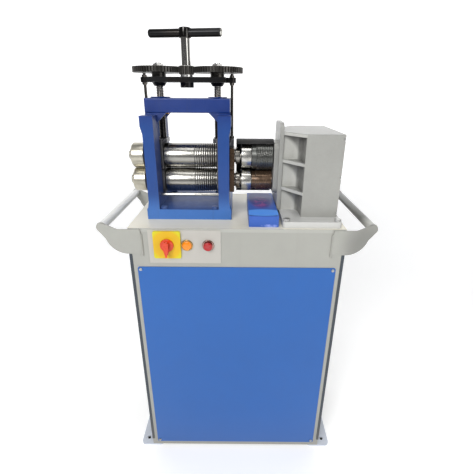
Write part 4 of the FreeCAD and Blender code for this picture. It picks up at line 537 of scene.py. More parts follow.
# ------------------------------------------------------------------ shading
Feed = Union["Signal", bpy.types.NodeSocket, float, Sequence[float]]


class Signal:
    """A socket that carries one number, with the usual operators."""

    def __init__(self, bench: Shader, socket: bpy.types.NodeSocket) -> None:
        """Keeps the socket and the bench that new nodes go on."""
        self.bench = bench
        self.socket = socket

    def __add__(self, other: Feed) -> Signal:
        """Sum."""
        return self.bench.sum_up("ADD", self, other)

    __radd__ = __add__

    def __sub__(self, other: Feed) -> Signal:
        """Difference."""
        return self.bench.sum_up("SUBTRACT", self, other)

    def __rsub__(self, other: Feed) -> Signal:
        """Difference, from the right."""
        return self.bench.sum_up("SUBTRACT", other, self)

    def __mul__(self, other: Feed) -> Signal:
        """Product."""
        return self.bench.sum_up("MULTIPLY", self, other)

    __rmul__ = __mul__

    def __pow__(self, other: Feed) -> Signal:
        """Power."""
        return self.bench.sum_up("POWER", self, other)

    def lower(self, other: Feed) -> Signal:
        """The lower of two values."""
        return self.bench.sum_up("MINIMUM", self, other)

    def higher(self, other: Feed) -> Signal:
        """The higher of two values."""
        return self.bench.sum_up("MAXIMUM", self, other)

    def between(self, low: float, high: float) -> Signal:
        """0 below low, 1 above high and a smooth step between.

        Args:
            low: value that gives 0.
            high: value that gives 1.

        Returns:
            The step.
        """
        made = self.bench.node("ShaderNodeMapRange", {"interpolation_type": "SMOOTHSTEP"},
                               {"Value": self, "From Min": low, "From Max": high})
        return Signal(self.bench, made.outputs["Result"])

    def within(self, start: float, full: float, fading: float, gone: float) -> Signal:
        """1 from full to fading, 0 before start and past gone, with smooth steps between."""
        return self.between(start, full) * (1.0 - self.between(fading, gone))


class Shader:
    """Node tree of one material, round a single surface shader."""

    def __init__(self, name: str) -> None:
        """Makes the material, its surface shader and its coordinates.

        Args:
            name: name of the material.
        """
        self.material = bpy.data.materials.new(name)
        self.material.use_nodes = True
        self.tree = self.material.node_tree
        self.tree.nodes.clear()
        self.surface = self.node("ShaderNodeBsdfPrincipled")
        self.node("ShaderNodeOutputMaterial", inputs={"Surface": self.surface.outputs["BSDF"]})
        self.place = self.node("ShaderNodeTexCoord").outputs["Object"]
        self.parts = self.node("ShaderNodeSeparateXYZ", {}, {"Vector": self.place})

    def node(self, kind: str, settings: Optional[dict[str, Any]] = None,
             inputs: Optional[dict[Any, Feed]] = None) -> bpy.types.Node:
        """Adds a node, sets it up and then feeds its sockets.

        Args:
            kind: type of the node.
            settings: its settings.
            inputs: values or links of its sockets, by name or number.

        Returns:
            The node.
        """
        made = self.tree.nodes.new(kind)
        for key, value in (settings or {}).items():
            setattr(made, key, value)
        for key, value in (inputs or {}).items():
            self.feed(made.inputs[key], value)
        return made

    def feed(self, socket: bpy.types.NodeSocket, value: Feed) -> None:
        """Links a signal or socket to a socket, or sets its value.

        Args:
            socket: the socket that is fed.
            value: a signal, a socket, a number or a colour.
        """
        if isinstance(value, Signal):
            value = value.socket
        if isinstance(value, bpy.types.NodeSocket):
            self.tree.links.new(value, socket)
        elif isinstance(value, (int, float)):
            socket.default_value = value
        else:
            wanted = len(socket.default_value)
            socket.default_value = tuple(value) + (1.0,) * (wanted - len(value))

    def sum_up(self, operation: str, first: Feed, second: Feed) -> Signal:
        """One Math node on two values."""
        made = self.node("ShaderNodeMath", {"operation": operation}, {0: first, 1: second})
        return Signal(self, made.outputs["Value"])

    def spot(self, stretch: Triple) -> bpy.types.NodeSocket:
        """The place on the object with each axis stretched."""
        made = self.node("ShaderNodeVectorMath", {"operation": "MULTIPLY"}, {0: self.place, 1: stretch})
        return made.outputs["Vector"]

    def noise(self, scale: float, detail: float, rough: float = 0.5,
              stretch: Triple = (1.0, 1.0, 1.0), warp: float = 0.0) -> Signal:
        """Cloudy noise, about 0.5 in the mean.

        Args:
            scale: clouds per metre.
            detail: number of finer layers.
            rough: weight of the finer layers.
            stretch: stretch of the three axes.
            warp: how far the clouds are pulled about.

        Returns:
            The noise.
        """
        made = self.node("ShaderNodeTexNoise", {}, {
            "Vector": self.spot(stretch), "Scale": scale, "Detail": detail, "Roughness": rough,
            "Distortion": warp})
        return Signal(self, made.outputs["Fac"])

    def axes(self) -> tuple[Signal, ...]:
        """Places along X, Y and Z."""
        return tuple(self.along(letter) for letter in "XYZ")

    def size_of(self, value: Signal) -> Signal:
        """A value without its sign."""
        return self.sum_up("ABSOLUTE", value, 0.0)

    def cells(self, scale: float) -> Signal:
        """Distance from the middle of the nearest cell.

        Args:
            scale: cells per metre.

        Returns:
            The distance.
        """
        made = self.node("ShaderNodeTexVoronoi", {"feature": "SMOOTH_F1"},
                         {"Vector": self.place, "Scale": scale, "Smoothness": 0.7})
        return Signal(self, made.outputs["Distance"])

    def along(self, letter: str) -> Signal:
        """Place along one axis, X, Y or Z."""
        return Signal(self, self.parts.outputs[letter])

    def strip(self) -> Signal:
        """1 on the rounded edges of a softened piece, 0 elsewhere."""
        made = self.node("ShaderNodeAttribute", {"attribute_name": "edge_strip"})
        return Signal(self, made.outputs["Fac"])

    def mixed(self, share: Feed, first: Feed, second: Feed) -> bpy.types.NodeSocket:
        """Mix of two colours.

        Args:
            share: share of the second colour.
            first: first colour.
            second: second colour.

        Returns:
            The colour.
        """
        made = self.node("ShaderNodeMix", {"data_type": "RGBA", "clamp_factor": True},
                         {0: share, 6: first, 7: second})
        return made.outputs[2]

    def scaled(self, colour: Feed, factor: Feed) -> bpy.types.NodeSocket:
        """A colour made lighter or darker by a factor."""
        made = self.node("ShaderNodeVectorMath", {"operation": "SCALE"}, {0: colour, "Scale": factor})
        return made.outputs["Vector"]

    def bump(self, height: Signal, depth: float, strength: float,
             below: Optional[bpy.types.NodeSocket] = None) -> bpy.types.NodeSocket:
        """Normal of a surface raised by a height signal.

        Args:
            height: height, 0 to 1.
            depth: height in metres that 1 stands for.
            strength: share of the effect.
            below: normal that it lies on.

        Returns:
            The normal.
        """
        inputs: dict[Any, Feed] = {"Height": height, "Distance": depth, "Strength": strength}
        if below is not None:
            inputs["Normal"] = below
        return self.node("ShaderNodeBump", {}, inputs).outputs["Normal"]

    def turned(self, axis: Axis, fine: tuple[float, float],
               coarse: tuple[float, float]) -> tuple[Signal, Signal, bpy.types.NodeSocket]:
        """Lines that a lathe leaves round an axis.

        Args:
            axis: the axis.
            fine: scales of the fine lines, along the axis and across it.
            coarse: scales of the coarse lines.

        Returns:
            Fine lines, coarse lines and the normal that they give together.
        """
        thin = self.noise(1.0, 2.0, 0.6, axis.stretch(*fine))
        thick = self.noise(1.0, 3.0, 0.6, axis.stretch(*coarse))
        return thin, thick, self.bump(thin * 0.6 + thick * 0.4, 0.00004, 0.8)

    def finish(self, **sockets: Feed) -> bpy.types.Material:
        """Feeds the surface shader, with spaces in socket names written as underscores.

        Args:
            **sockets: values or links.

        Returns:
            The finished material.
        """
        for key, value in sockets.items():
            self.feed(self.surface.inputs[key.replace("_", " ")], value)
        return self.material


@dataclass(frozen=True)
class Patch:
    """Soft-edged area of another tone round a point, or with outside set, everything beyond it."""

    centre: Triple
    reach: Triple
    colour: Triple
    share: float = 1.0
    soft: float = 0.35
    outside: bool = False
    ragged: float = 0.0

    def laid(self, bench: Shader, base: Feed) -> Feed:
        """Lays the patch over a colour.

        Each offset from the centre is divided by the reach along its axis; the root of their summed squares
        is 1 at the edge of the patch.

        Args:
            bench: the material that is being built.
            base: colour so far.

        Returns:
            The colour.
        """
        total: Feed = 0.0
        for along, place, size in zip(bench.axes(), self.centre, self.reach):
            offset = (along - place) * (1.0 / size)
            total = total + offset * offset
        far = (total ** 0.5).between(1.0 - self.soft, 1.0 + self.soft)
        share = far if self.outside else 1.0 - far
        if self.ragged:
            share = share * bench.noise(self.ragged, 4.0, 0.6, warp=0.6).between(0.38, 0.66)
        return bench.mixed(share * self.share, base, self.colour)


FLOOR_DIRT: Triple = (0.20, 0.18, 0.15)
BARE_STEEL: Triple = (0.42, 0.41, 0.39)
BARE_IRON: Triple = (0.30, 0.28, 0.26)
WORN_BLACK: Triple = (0.34, 0.33, 0.31)
POLISHED: Triple = (0.50, 0.49, 0.47)
SOOT: Triple = (0.022, 0.021, 0.020)
OLD_OIL: Triple = (0.05, 0.045, 0.04)
GREASE: Triple = (0.055, 0.038, 0.022)
DARKER_BELOW: Triple = (0.035, 0.031, 0.028)
THIN_OIL: Triple = (0.16, 0.13, 0.09)
ROLL_OIL: Triple = (0.20, 0.17, 0.13)
GROOVE_DARK: Triple = (0.045, 0.038, 0.032)
NECK_SCALE: Triple = (0.15, 0.085, 0.035)
RUBBER_DUST: Triple = (0.22, 0.20, 0.18)
PALE_SCRATCH: Triple = (0.75, 0.72, 0.68)
BROWNED: Triple = (0.12, 0.07, 0.03)


@dataclass(frozen=True)
class Finish:
    """Name and main colour of a finish."""

    name: str
    colour: Triple

    def material(self) -> bpy.types.Material:
        """Builds the material."""
        raise NotImplementedError


@dataclass(frozen=True)
class SheetPaint(Finish):
    """Semi-gloss paint on sheet steel: slight orange peel, soft waves of the sheet, scuffs and dust, and
    patches of other tones, some of them painted light and shade.
    """

    rough: float = 0.36
    waves: float = 0.0005
    wear: float = 0.55
    dust: float = 0.30
    coat: float = 0.18
    front_shade: Optional[Triple] = None
    patches: tuple[Patch, ...] = ()

    def material(self) -> bpy.types.Material:
        """Builds the paint; a darker colour, painted shade, covers what lies in front of the cabinet's front
        face.

        Returns:
            The material.
        """
        bench = Shader(self.name)
        broad = bench.noise(3.1, 3.0)
        cloud = bench.noise(22.0, 4.0, 0.6)
        peel = bench.noise(520.0, 2.0)
        streaks = bench.noise(26.0, 4.0, 0.65, (1.0, 1.0, 0.05))
        scuffs = bench.noise(60.0, 5.0, 0.7, (0.25, 1.0, 1.6), 0.6).between(0.63, 0.72)
        low = 1.0 - bench.along("Z").between(0.0, 0.22)
        grime = (low * (0.35 + cloud) + streaks.between(0.52, 0.85) * 0.35) * self.dust
        base = bench.scaled(self.colour, 1.0 + (broad - 0.5) * 0.16 + (cloud - 0.5) * 0.10)
        # painted shade on the face in front of the cabinet's front face
        if self.front_shade:
            base = bench.mixed(1.0 - bench.along("Y").between(-0.1746, -0.1728), base, self.front_shade)
        # patches of other tones, some of them painted light and painted shade
        for patch in self.patches:
            base = patch.laid(bench, base)
        base = bench.mixed(grime, base, FLOOR_DIRT)
        bare = bench.strip() * bench.noise(75.0, 5.0, 0.7).between(0.56, 0.70) * self.wear
        base = bench.mixed(bare, base, BARE_STEEL)
        rough = self.rough + (cloud - 0.5) * 0.12 + scuffs * 0.10 + grime * 0.35
        normal = bench.bump(bench.noise(5.5, 2.0), self.waves, 0.7)
        normal = bench.bump(peel, 0.00006, 0.55, normal)
        return bench.finish(Base_Color=base, Roughness=rough, Normal=normal, Metallic=bare * 0.8,
                            Coat_Weight=self.coat, Coat_Roughness=0.18)


@dataclass(frozen=True)
class Hollows:
    """Hollows between the ribs of a casting: painted light on the back wall, rib fronts and foot, and painted
    shade in the corner under each rib and on the block's side wall.
    """

    left: float
    right: float
    wall: float
    ribs: tuple[float, ...]
    rib_thick: float = 0.0080
    reach: float = 0.060
    floor: float = 0.8682
    lit_foot_tone: Triple = (0.55, 0.55, 0.53)
    painted_shade_tone: Triple = (0.085, 0.083, 0.078)

    def painted(self, bench: Shader, base: Feed, cloud: Signal) -> Feed:
        """The paint with the hollows' painted light and shade: painted shade fills the corner outside a
        quarter circle under each rib.

        Args:
            bench: the material that is being built.
            base: colour so far.
            cloud: uneven values from 0 to 1.

        Returns:
            The colour.
        """
        x, y, z = bench.axes()
        right = self.right
        depth = bench.size_of(y)
        span = x.within(self.left, self.left + 0.002, right, right + 0.001)
        span = span * (1.0 - z.between(self.ribs[-1] + 0.001, self.ribs[-1] + 0.002))
        # painted light: the back wall of each hollow is made lighter
        back = span * (1.0 - depth.between(self.wall, self.wall + 0.004))
        base = bench.scaled(base, 1.0 + back * 0.75)
        # painted shade on the block's side wall at the right of each hollow
        side = span * x.between(right - 0.012, right - 0.001) * depth.between(self.wall, self.wall + 0.012)
        shade = side * 0.55
        foot = 1.0 - z.between(self.floor, self.floor + 0.001)
        lit_webs: Feed = foot
        # painted shade in the corner under each rib, and a lighter band on each rib front as painted light
        for top in self.ribs:
            away = ((x - (right - self.reach)) ** 2.0 + (z - (top - self.reach)) ** 2.0) ** 0.5
            corner = away.between(self.reach * 0.80, self.reach * 1.02)
            corner = corner * z.within(top - self.reach, top - self.reach * 0.6, top, top + 0.001)
            shade = shade.higher(span * corner * (0.55 + cloud * 0.3))
            thick = top + self.rib_thick
            web = z.within(top, top + 0.001, thick, thick + 0.0008)
            lit_webs = lit_webs + web * x.within(self.left, self.left + 0.002, right, right + 0.002)
        # painted light: the rib fronts are lighter and the foot takes the lit foot tone
        base = bench.mixed(foot, bench.scaled(base, 1.0 + lit_webs * 0.42), self.lit_foot_tone)
        return bench.mixed(shade * (1.0 - lit_webs.lower(1.0)), base, self.painted_shade_tone)


@dataclass(frozen=True)
class Passage:
    """Passage through a casting whose walls get painted shade: a dark tone and a rougher surface."""

    middle_x: float
    half: float
    low: float
    high: float
    tone: Triple = (0.008, 0.026, 0.140)

    def shaded_walls(self, bench: Shader) -> Signal:
        """1 on the walls of the passage, 0 elsewhere.

        Args:
            bench: the material that is being built.

        Returns:
            The mask.
        """
        away = bench.size_of(bench.along("X") - self.middle_x)
        height = bench.along("Z").within(self.low - 0.0008, self.low - 0.0002, self.high - 0.001, self.high)
        return (1.0 - away.between(self.half, self.half + 0.0006)) * height


@dataclass(frozen=True)
class CastPaint(Finish):
    """Thick gloss paint on a casting: sand texture under it, runs in the corners, bare iron on the edges.

    Each band is a height where it starts, one where it is full, and its colour; the bands paint light and
    shade by height.
    """

    rough: float = 0.30
    oil: float = 0.25
    coat: float = 0.40
    painted_light_bands: tuple[tuple[float, float, Triple], ...] = ()
    hollows: Optional[Hollows] = None
    inner: Optional[Passage] = None

    def material(self) -> bpy.types.Material:
        """Builds the paint.

        Returns:
            The material.
        """
        bench = Shader(self.name)
        broad = bench.noise(7.0, 3.0)
        cloud = bench.noise(48.0, 4.0, 0.6)
        sand = bench.noise(210.0, 4.0, 0.55)
        pits = 1.0 - bench.cells(330.0)
        runs = bench.noise(34.0, 4.0, 0.6, (1.0, 1.0, 0.08)).between(0.55, 0.80)
        chip = bench.strip() * bench.noise(120.0, 6.0, 0.75).between(0.55, 0.66) * 0.55
        rough = self.rough + (cloud - 0.5) * 0.14 - runs * self.oil * 0.25 + chip * 0.12
        base: Feed = self.colour
        # painted light and shade by height: each band mixes in its colour
        for start, full, colour in self.painted_light_bands:
            base = bench.mixed(bench.along("Z").between(start, full), base, colour)
        base = bench.scaled(base, 1.0 + (broad - 0.5) * 0.22 + (cloud - 0.5) * 0.12 + (sand - 0.5) * 0.10)
        base = bench.mixed(runs * self.oil, base, OLD_OIL)
        if self.hollows:
            base = self.hollows.painted(bench, base, cloud)
        if self.inner:
            # painted shade on the passage walls, which are also made rougher
            shaded_walls = self.inner.shaded_walls(bench)
            base = bench.mixed(shaded_walls * (0.50 + cloud * 0.36), base, self.inner.tone)
            rough = rough + shaded_walls * 0.22
        base = bench.mixed(chip, base, BARE_IRON)
        normal = bench.bump(broad, 0.0016, 0.5)
        normal = bench.bump(sand * 0.75 + pits * 0.25, 0.00030, 0.8, normal)
        return bench.finish(Base_Color=base, Roughness=rough, Normal=normal, Metallic=chip * 0.7,
                            Coat_Weight=self.coat, Coat_Roughness=0.12)


@dataclass(frozen=True)
class TurnedSteel(Finish):
    """Turned or ground bright steel: fine lines round its axis, smears of oil and a few deeper marks."""

    axis: Axis
    rough: float = 0.24
    smear: float = 0.35
    painted_left: Optional[Triple] = None
    dark_below: float = 0.0

    def material(self) -> bpy.types.Material:
        """Builds the metal; paint may cover what is left of the middle, and a darker tone what is below a
        level.

        Returns:
            The material.
        """
        bench = Shader(self.name)
        fine, coarse, normal = bench.turned(self.axis, (4200.0, 14.0), (700.0, 6.0))
        cloud = bench.noise(36.0, 4.0, 0.6)
        film = bench.noise(14.0, 4.0, 0.6, warp=0.7).between(0.48, 0.74)
        tone = 0.93 + (fine - 0.5) * 0.22 + (coarse - 0.5) * 0.26 + (cloud - 0.5) * 0.10
        base = bench.scaled(self.colour, tone)
        base = bench.mixed(film * self.smear, base, THIN_OIL)
        rough = self.rough + (fine - 0.5) * 0.14 + (cloud - 0.5) * 0.10 + film * 0.08
        # a darker tone below a height
        if self.dark_below:
            darkened = 1.0 - bench.along("Z").between(self.dark_below - 0.02, self.dark_below)
            base = bench.mixed(darkened * 0.9, base, DARKER_BELOW)
        metal: Feed = 1.0
        if self.painted_left:
            painted = (1.0 - bench.along("X").between(-0.001, 0.001)) * 0.9
            base = bench.mixed(painted, base, self.painted_left)
            metal = 1.0 - painted
        return bench.finish(Base_Color=base, Roughness=rough, Normal=normal, Metallic=metal)


@dataclass(frozen=True)
class RollSteel(Finish):
    """Ground roll steel: fine lines round a bright barrel, a darker tone in the grooves, oil and scale on the
    necks.
    """

    radius: float = 0.0355
    mid_height: float = 0.980
    half_space: float = 0.036
    first_groove: float = -0.1272
    last_groove: float = -0.0625

    def material(self) -> bpy.types.Material:
        """Builds the metal; the distance from the nearer roll axis tells barrel from groove and neck.

        Returns:
            The material.
        """
        bench = Shader(self.name)
        x, y, z = bench.axes()
        off = bench.size_of(z - self.mid_height) - self.half_space
        out = (y * y + off * off) ** 0.5
        deep = 1.0 - out.between(self.radius - 0.0017, self.radius - 0.0002)
        deep = deep * x.within(self.first_groove, self.first_groove + 0.001, self.last_groove - 0.001,
                               self.last_groove)
        necks = 1.0 - out.between(0.0262, 0.0275)
        fine, coarse, normal = bench.turned(Axis.X, (5200.0, 22.0), (900.0, 9.0))
        cloud = bench.noise(42.0, 4.0, 0.6)
        film = bench.noise(17.0, 4.0, 0.6, warp=0.7).between(0.50, 0.76)
        base = bench.scaled(self.colour, 0.92 + (fine - 0.5) * 0.30 + (coarse - 0.5) * 0.30)
        # a darker tone in the grooves
        base = bench.mixed(deep * 0.66, base, GROOVE_DARK)
        base = bench.mixed(necks * (0.14 + film * 0.76), base, NECK_SCALE)
        base = bench.mixed(film * 0.22, base, ROLL_OIL)
        rough = 0.25 + (fine - 0.5) * 0.14 + (cloud - 0.5) * 0.10 + deep * 0.2
        return bench.finish(Base_Color=base, Roughness=rough, Normal=normal, Metallic=1.0)


@dataclass(frozen=True)
class DarkSteel(Finish):
    """Blackened, oiled steel: mottled brown-grey, bright on the edges that are touched."""

    rough: float = 0.38
    shine: float = 0.8
    edge: float = 0.7
    mottle: float = 1.0
    bright_above: float = 0.0
    dark_above: float = 0.0
    grain: float = 0.00012

    def material(self) -> bpy.types.Material:
        """Builds the metal; above the given heights it is bare and bright, or blackened.

        Returns:
            The material.
        """
        bench = Shader(self.name)
        cloud = bench.noise(30.0, 5.0, 0.62)
        speck = bench.noise(420.0, 3.0, 0.6)
        darkened = bench.noise(18.0, 4.0, 0.6, warp=0.5).between(0.50, 0.72)
        tone = 1.0 + (cloud - 0.5) * (0.75 * self.mottle) + (speck - 0.5) * (0.30 * self.mottle)
        base = bench.scaled(self.colour, tone)
        base = bench.mixed(darkened * (0.35 * self.mottle), base, GREASE)
        if self.bright_above:
            bare = bench.along("Z").between(self.bright_above, self.bright_above + 0.0006)
            base = bench.mixed(bare * 0.85, base, POLISHED)
        if self.dark_above:
            black = bench.along("Z").between(self.dark_above - 0.0006, self.dark_above)
            base = bench.mixed(black * 0.96, base, SOOT)
        rub = bench.strip() * bench.noise(60.0, 4.0, 0.6).between(0.35, 0.60) * self.edge
        base = bench.mixed(rub, base, WORN_BLACK)
        rough = self.rough + (cloud - 0.5) * (0.20 * self.mottle) - darkened * (0.12 * self.mottle) - rub * 0.10
        normal = bench.bump(speck, self.grain, 0.6)
        return bench.finish(Base_Color=base, Roughness=rough, Normal=normal, Metallic=self.shine)


@dataclass(frozen=True)
class Rubber(Finish):
    """Matt black rubber with a fine grain and pale dust in it."""

    rough: float = 0.72

    def material(self) -> bpy.types.Material:
        """Builds the rubber.

        Returns:
            The material.
        """
        bench = Shader(self.name)
        grain = bench.noise(900.0, 3.0, 0.6)
        cloud = bench.noise(40.0, 4.0, 0.6)
        dust = cloud.between(0.52, 0.78)
        base = bench.scaled(self.colour, 1.0 + (grain - 0.5) * 0.5 + (cloud - 0.5) * 0.4)
        base = bench.mixed(dust * 0.16, base, RUBBER_DUST)
        normal = bench.bump(grain, 0.00008, 0.7)
        return bench.finish(Base_Color=base, Roughness=self.rough + dust * 0.15 - (grain - 0.5) * 0.1,
                            Normal=normal)


@dataclass(frozen=True)
class Moulding(Finish):
    """Moulded plastic: even colour, faint flow marks, fine scratches and finger dullness."""

    rough: float = 0.28
    glow: float = 0.0

    def material(self) -> bpy.types.Material:
        """Builds the plastic.

        Returns:
            The material.
        """
        bench = Shader(self.name)
        flow = bench.noise(60.0, 3.0, 0.5)
        grain = bench.noise(1400.0, 2.0, 0.5)
        scratch = bench.noise(260.0, 4.0, 0.7, (0.12, 1.0, 1.0), 0.4).between(0.62, 0.70)
        base = bench.scaled(self.colour, 1.0 + (flow - 0.5) * 0.14)
        base = bench.mixed(scratch * 0.10, base, PALE_SCRATCH)
        rough = self.rough + (flow - 0.5) * 0.12 + scratch * 0.15
        normal = bench.bump(grain, 0.00003, 0.5)
        made = bench.finish(Base_Color=base, Roughness=rough, Normal=normal, Coat_Weight=0.3,
                            Coat_Roughness=0.12)
        if self.glow:
            bench.finish(Emission_Color=bench.scaled(self.colour, 0.8 + flow * 0.4),
                         Emission_Strength=self.glow)
        return made


@dataclass(frozen=True)
class Bronze(Finish):
    """Machined bearing bronze: warm, slightly brown where the oil has dried."""

    def material(self) -> bpy.types.Material:
        """Builds the metal.

        Returns:
            The material.
        """
        bench = Shader(self.name)
        cloud = bench.noise(45.0, 5.0, 0.6)
        lines = bench.noise(900.0, 3.0, 0.6, (1.0, 1.0, 0.1))
        base = bench.scaled(self.colour, 1.0 + (cloud - 0.5) * 0.4 + (lines - 0.5) * 0.2)
        base = bench.mixed(cloud.between(0.50, 0.74) * 0.5, base, BROWNED)
        normal = bench.bump(lines, 0.00006, 0.6)
        return bench.finish(Base_Color=base, Roughness=0.30 + (cloud - 0.5) * 0.25, Normal=normal,
                            Metallic=1.0)


def palette() -> tuple[Finish, ...]:
    """All finishes of the mill.

    Returns:
        One entry for each material.
    """
    return (
        SheetPaint("cabinet_grey", paint(160, 160, 153)),
        # deck cream: its front face gets a darker grey as painted shade
        SheetPaint("deck_cream", paint(224, 219, 202), dust=0.16, waves=0.0003, front_shade=paint(170, 170, 163)),
        SheetPaint("panel_blue", paint(14, 88, 165), rough=0.42, waves=0.0009, dust=0.07),
        SheetPaint("trim_dark", paint(50, 58, 66), rough=0.45, waves=0.0001),
        SheetPaint("control_beige", paint(180, 177, 170), dust=0.12, waves=0.0001),
        # bracket grey: the right bracket's front darkened as painted shade
        SheetPaint("bracket_grey", paint(160, 160, 153), patches=(
            Patch((0.350, -0.178, 0.800), (0.052, 0.05, 0.075), paint(112, 112, 108), 0.7, 0.6),)),
        # handle grey: the left tube lighter as painted light, the right tube darker as painted shade
        SheetPaint("handle_grey", paint(182, 182, 177), wear=0.8, waves=0.0, dust=0.12, patches=(
            Patch((-0.366, 0.0, 0.853), (0.1, 0.3, 0.1), paint(224, 224, 221)),
            Patch((0.366, 0.04, 0.853), (0.1, 0.17, 0.1), paint(98, 98, 95), 1.0, 0.2))),
        # box blue: painted shade on the top face, a rose blotch there, a painted highlight along the front of
        # the top, and painted highlights low on the front face
        SheetPaint("box_blue", paint(50, 92, 178), rough=0.42, waves=0.0006, wear=0.6, coat=0.0, patches=(
            Patch((0.073, 0.012, 0.8815), (0.040, 0.105, 0.0012), paint(44, 42, 118), 0.75, 0.12),
            Patch((0.070, -0.030, 0.8815), (0.028, 0.058, 0.0012), paint(176, 84, 150), 0.6, 0.4, False,
                  60.0),
            Patch((0.073, -0.126, 0.8815), (0.060, 0.030, 0.0014), paint(92, 164, 255), 0.85, 0.12),
            Patch((0.090, -0.160, 0.8540), (0.022, 0.020, 0.0040), paint(170, 186, 255), 0.7, 0.3, False,
                  90.0))),
        SheetPaint("guard_black", paint(15, 14, 13), rough=0.55, waves=0.0001, dust=0.04, coat=0.0),
        SheetPaint("sign_yellow", paint(214, 172, 0), rough=0.46, waves=0.0, dust=0.05, wear=0.15, coat=0.04,
                   patches=(Patch((-0.191, -0.18, 0.804), (0.041, 1.0, 0.043), paint(206, 200, 22), 0.85,
                                  0.12, True),)),
        # mill blue: lighter near the deck as a painted reflection of it, darker on the beam as painted shade;
        # painted shade on the passage walls
        CastPaint("mill_blue", paint(56, 108, 180), rough=0.36, coat=0.12,
                  painted_light_bands=((0.866, 0.935, paint(14, 62, 130)), (1.09, 1.15, paint(0, 43, 114))),
                  inner=Passage(-0.137, 0.0842, 0.880, 1.1365)),
        # foot flanges: the cabinet grey made paler and bluish as a painted reflection
        SheetPaint("flange_reflection_grey", paint(206, 213, 226), wear=0.8, dust=0.12),
        # gearbox grey: painted light and painted shade in the hollows between the ribs
        CastPaint("gearbox_grey", paint(153, 153, 148), rough=0.40, oil=0.12, coat=0.20,
                  hollows=Hollows(0.1268, 0.1772, 0.0590, (0.9302, 1.0082, 1.0828))),
        CastPaint("motor_grey", paint(84, 92, 100), rough=0.42, coat=0.20),
        Moulding("knob_red", paint(208, 56, 10)),
        Moulding("button_red", paint(166, 26, 28)),
        Moulding("lens_amber", paint(232, 128, 4), rough=0.16, glow=0.12),
        Moulding("switch_black", paint(34, 34, 36), rough=0.48),
        RollSteel("roll_steel", (0.40, 0.39, 0.36)),
        TurnedSteel("side_roll_steel", (0.57, 0.54, 0.45), Axis.X, rough=0.32),
        TurnedSteel("bright_steel_x", (0.62, 0.61, 0.57), Axis.X),
        TurnedSteel("bright_steel_z", (0.60, 0.60, 0.59), Axis.Z),
        TurnedSteel("screw_steel", (0.34, 0.33, 0.32), Axis.Z, rough=0.22, smear=0.4, dark_below=1.16),
        TurnedSteel("rim_brass", (0.52, 0.34, 0.12), Axis.Y, rough=0.16, smear=0.2),
        TurnedSteel("rim_copper", (0.44, 0.28, 0.24), Axis.Y, rough=0.14, smear=0.2),
        TurnedSteel("fastener_steel", (0.52, 0.52, 0.51), Axis.Z, rough=0.34, smear=0.5),
        TurnedSteel("bolt_steel", (0.56, 0.56, 0.55), Axis.Z, rough=0.34, smear=0.4,
                    painted_left=paint(24, 70, 136)),
        DarkSteel("dark_steel", paint(27, 27, 28), rough=0.32, mottle=0.5),
        DarkSteel("spindle_steel", paint(160, 158, 154), rough=0.15, shine=1.0, mottle=0.2, grain=0.00001,
                  dark_above=1.3160),
        DarkSteel("gear_steel", paint(70, 68, 65), edge=0.6, mottle=0.7, bright_above=1.2515),
        DarkSteel("rod_steel", paint(66, 63, 60), rough=0.24, mottle=0.5, shine=0.9),
        DarkSteel("chock_steel", paint(88, 88, 92), rough=0.34),
        DarkSteel("greasy_iron", paint(84, 62, 42), rough=0.30, shine=0.5),
        DarkSteel("sleeve_brown", paint(116, 94, 76), rough=0.28, shine=0.7, grain=0.00006),
        DarkSteel("sleeve_black", paint(98, 100, 97), rough=0.34, mottle=0.35, grain=0.00001),
        Rubber("belt_rubber", paint(28, 28, 28)),
        Bronze("bronze", paint(186, 134, 72)),
    )


class Finishes:
    """The finishes' materials, each made once and shared by the pieces that have it."""

    def __init__(self) -> None:
        """Builds every material."""
        self.made = {one.name: one.material() for one in palette()}

    def give(self, piece: bpy.types.Object, finish: str) -> None:
        """Gives a piece its finish.

        Args:
            piece: the piece.
            finish: name of the finish.
        """
        piece.data.materials.clear()
        piece.data.materials.append(self.made[finish])

    def soften(self, *rows: tuple[str, float, str]) -> None:
        """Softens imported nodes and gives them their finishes.

        Args:
            *rows: node, width of its rounded edges, and finish.
        """
        for node, width, finish in rows:
            self.give(softened(node, width), finish)


def edge(node: str, axis: Axis, high: bool) -> float:
    """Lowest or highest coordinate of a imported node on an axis."""
    low_corner, high_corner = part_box(node)
    return float((high_corner if high else low_corner)[axis.value])


def middle(node: str) -> Triple:
    """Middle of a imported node's box.

    Args:
        node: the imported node.

    Returns:
        The point.
    """
    low_corner, high_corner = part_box(node)
    centre = (low_corner + high_corner) / 2
    return (centre.x, centre.y, centre.z)


# ------------------------------------------------------------------ sub-assemblies
MIDDLE_X = -0.137
LEVELS = {"lower": 0.944, "upper": 1.016}
BOTH = (-1, 1)


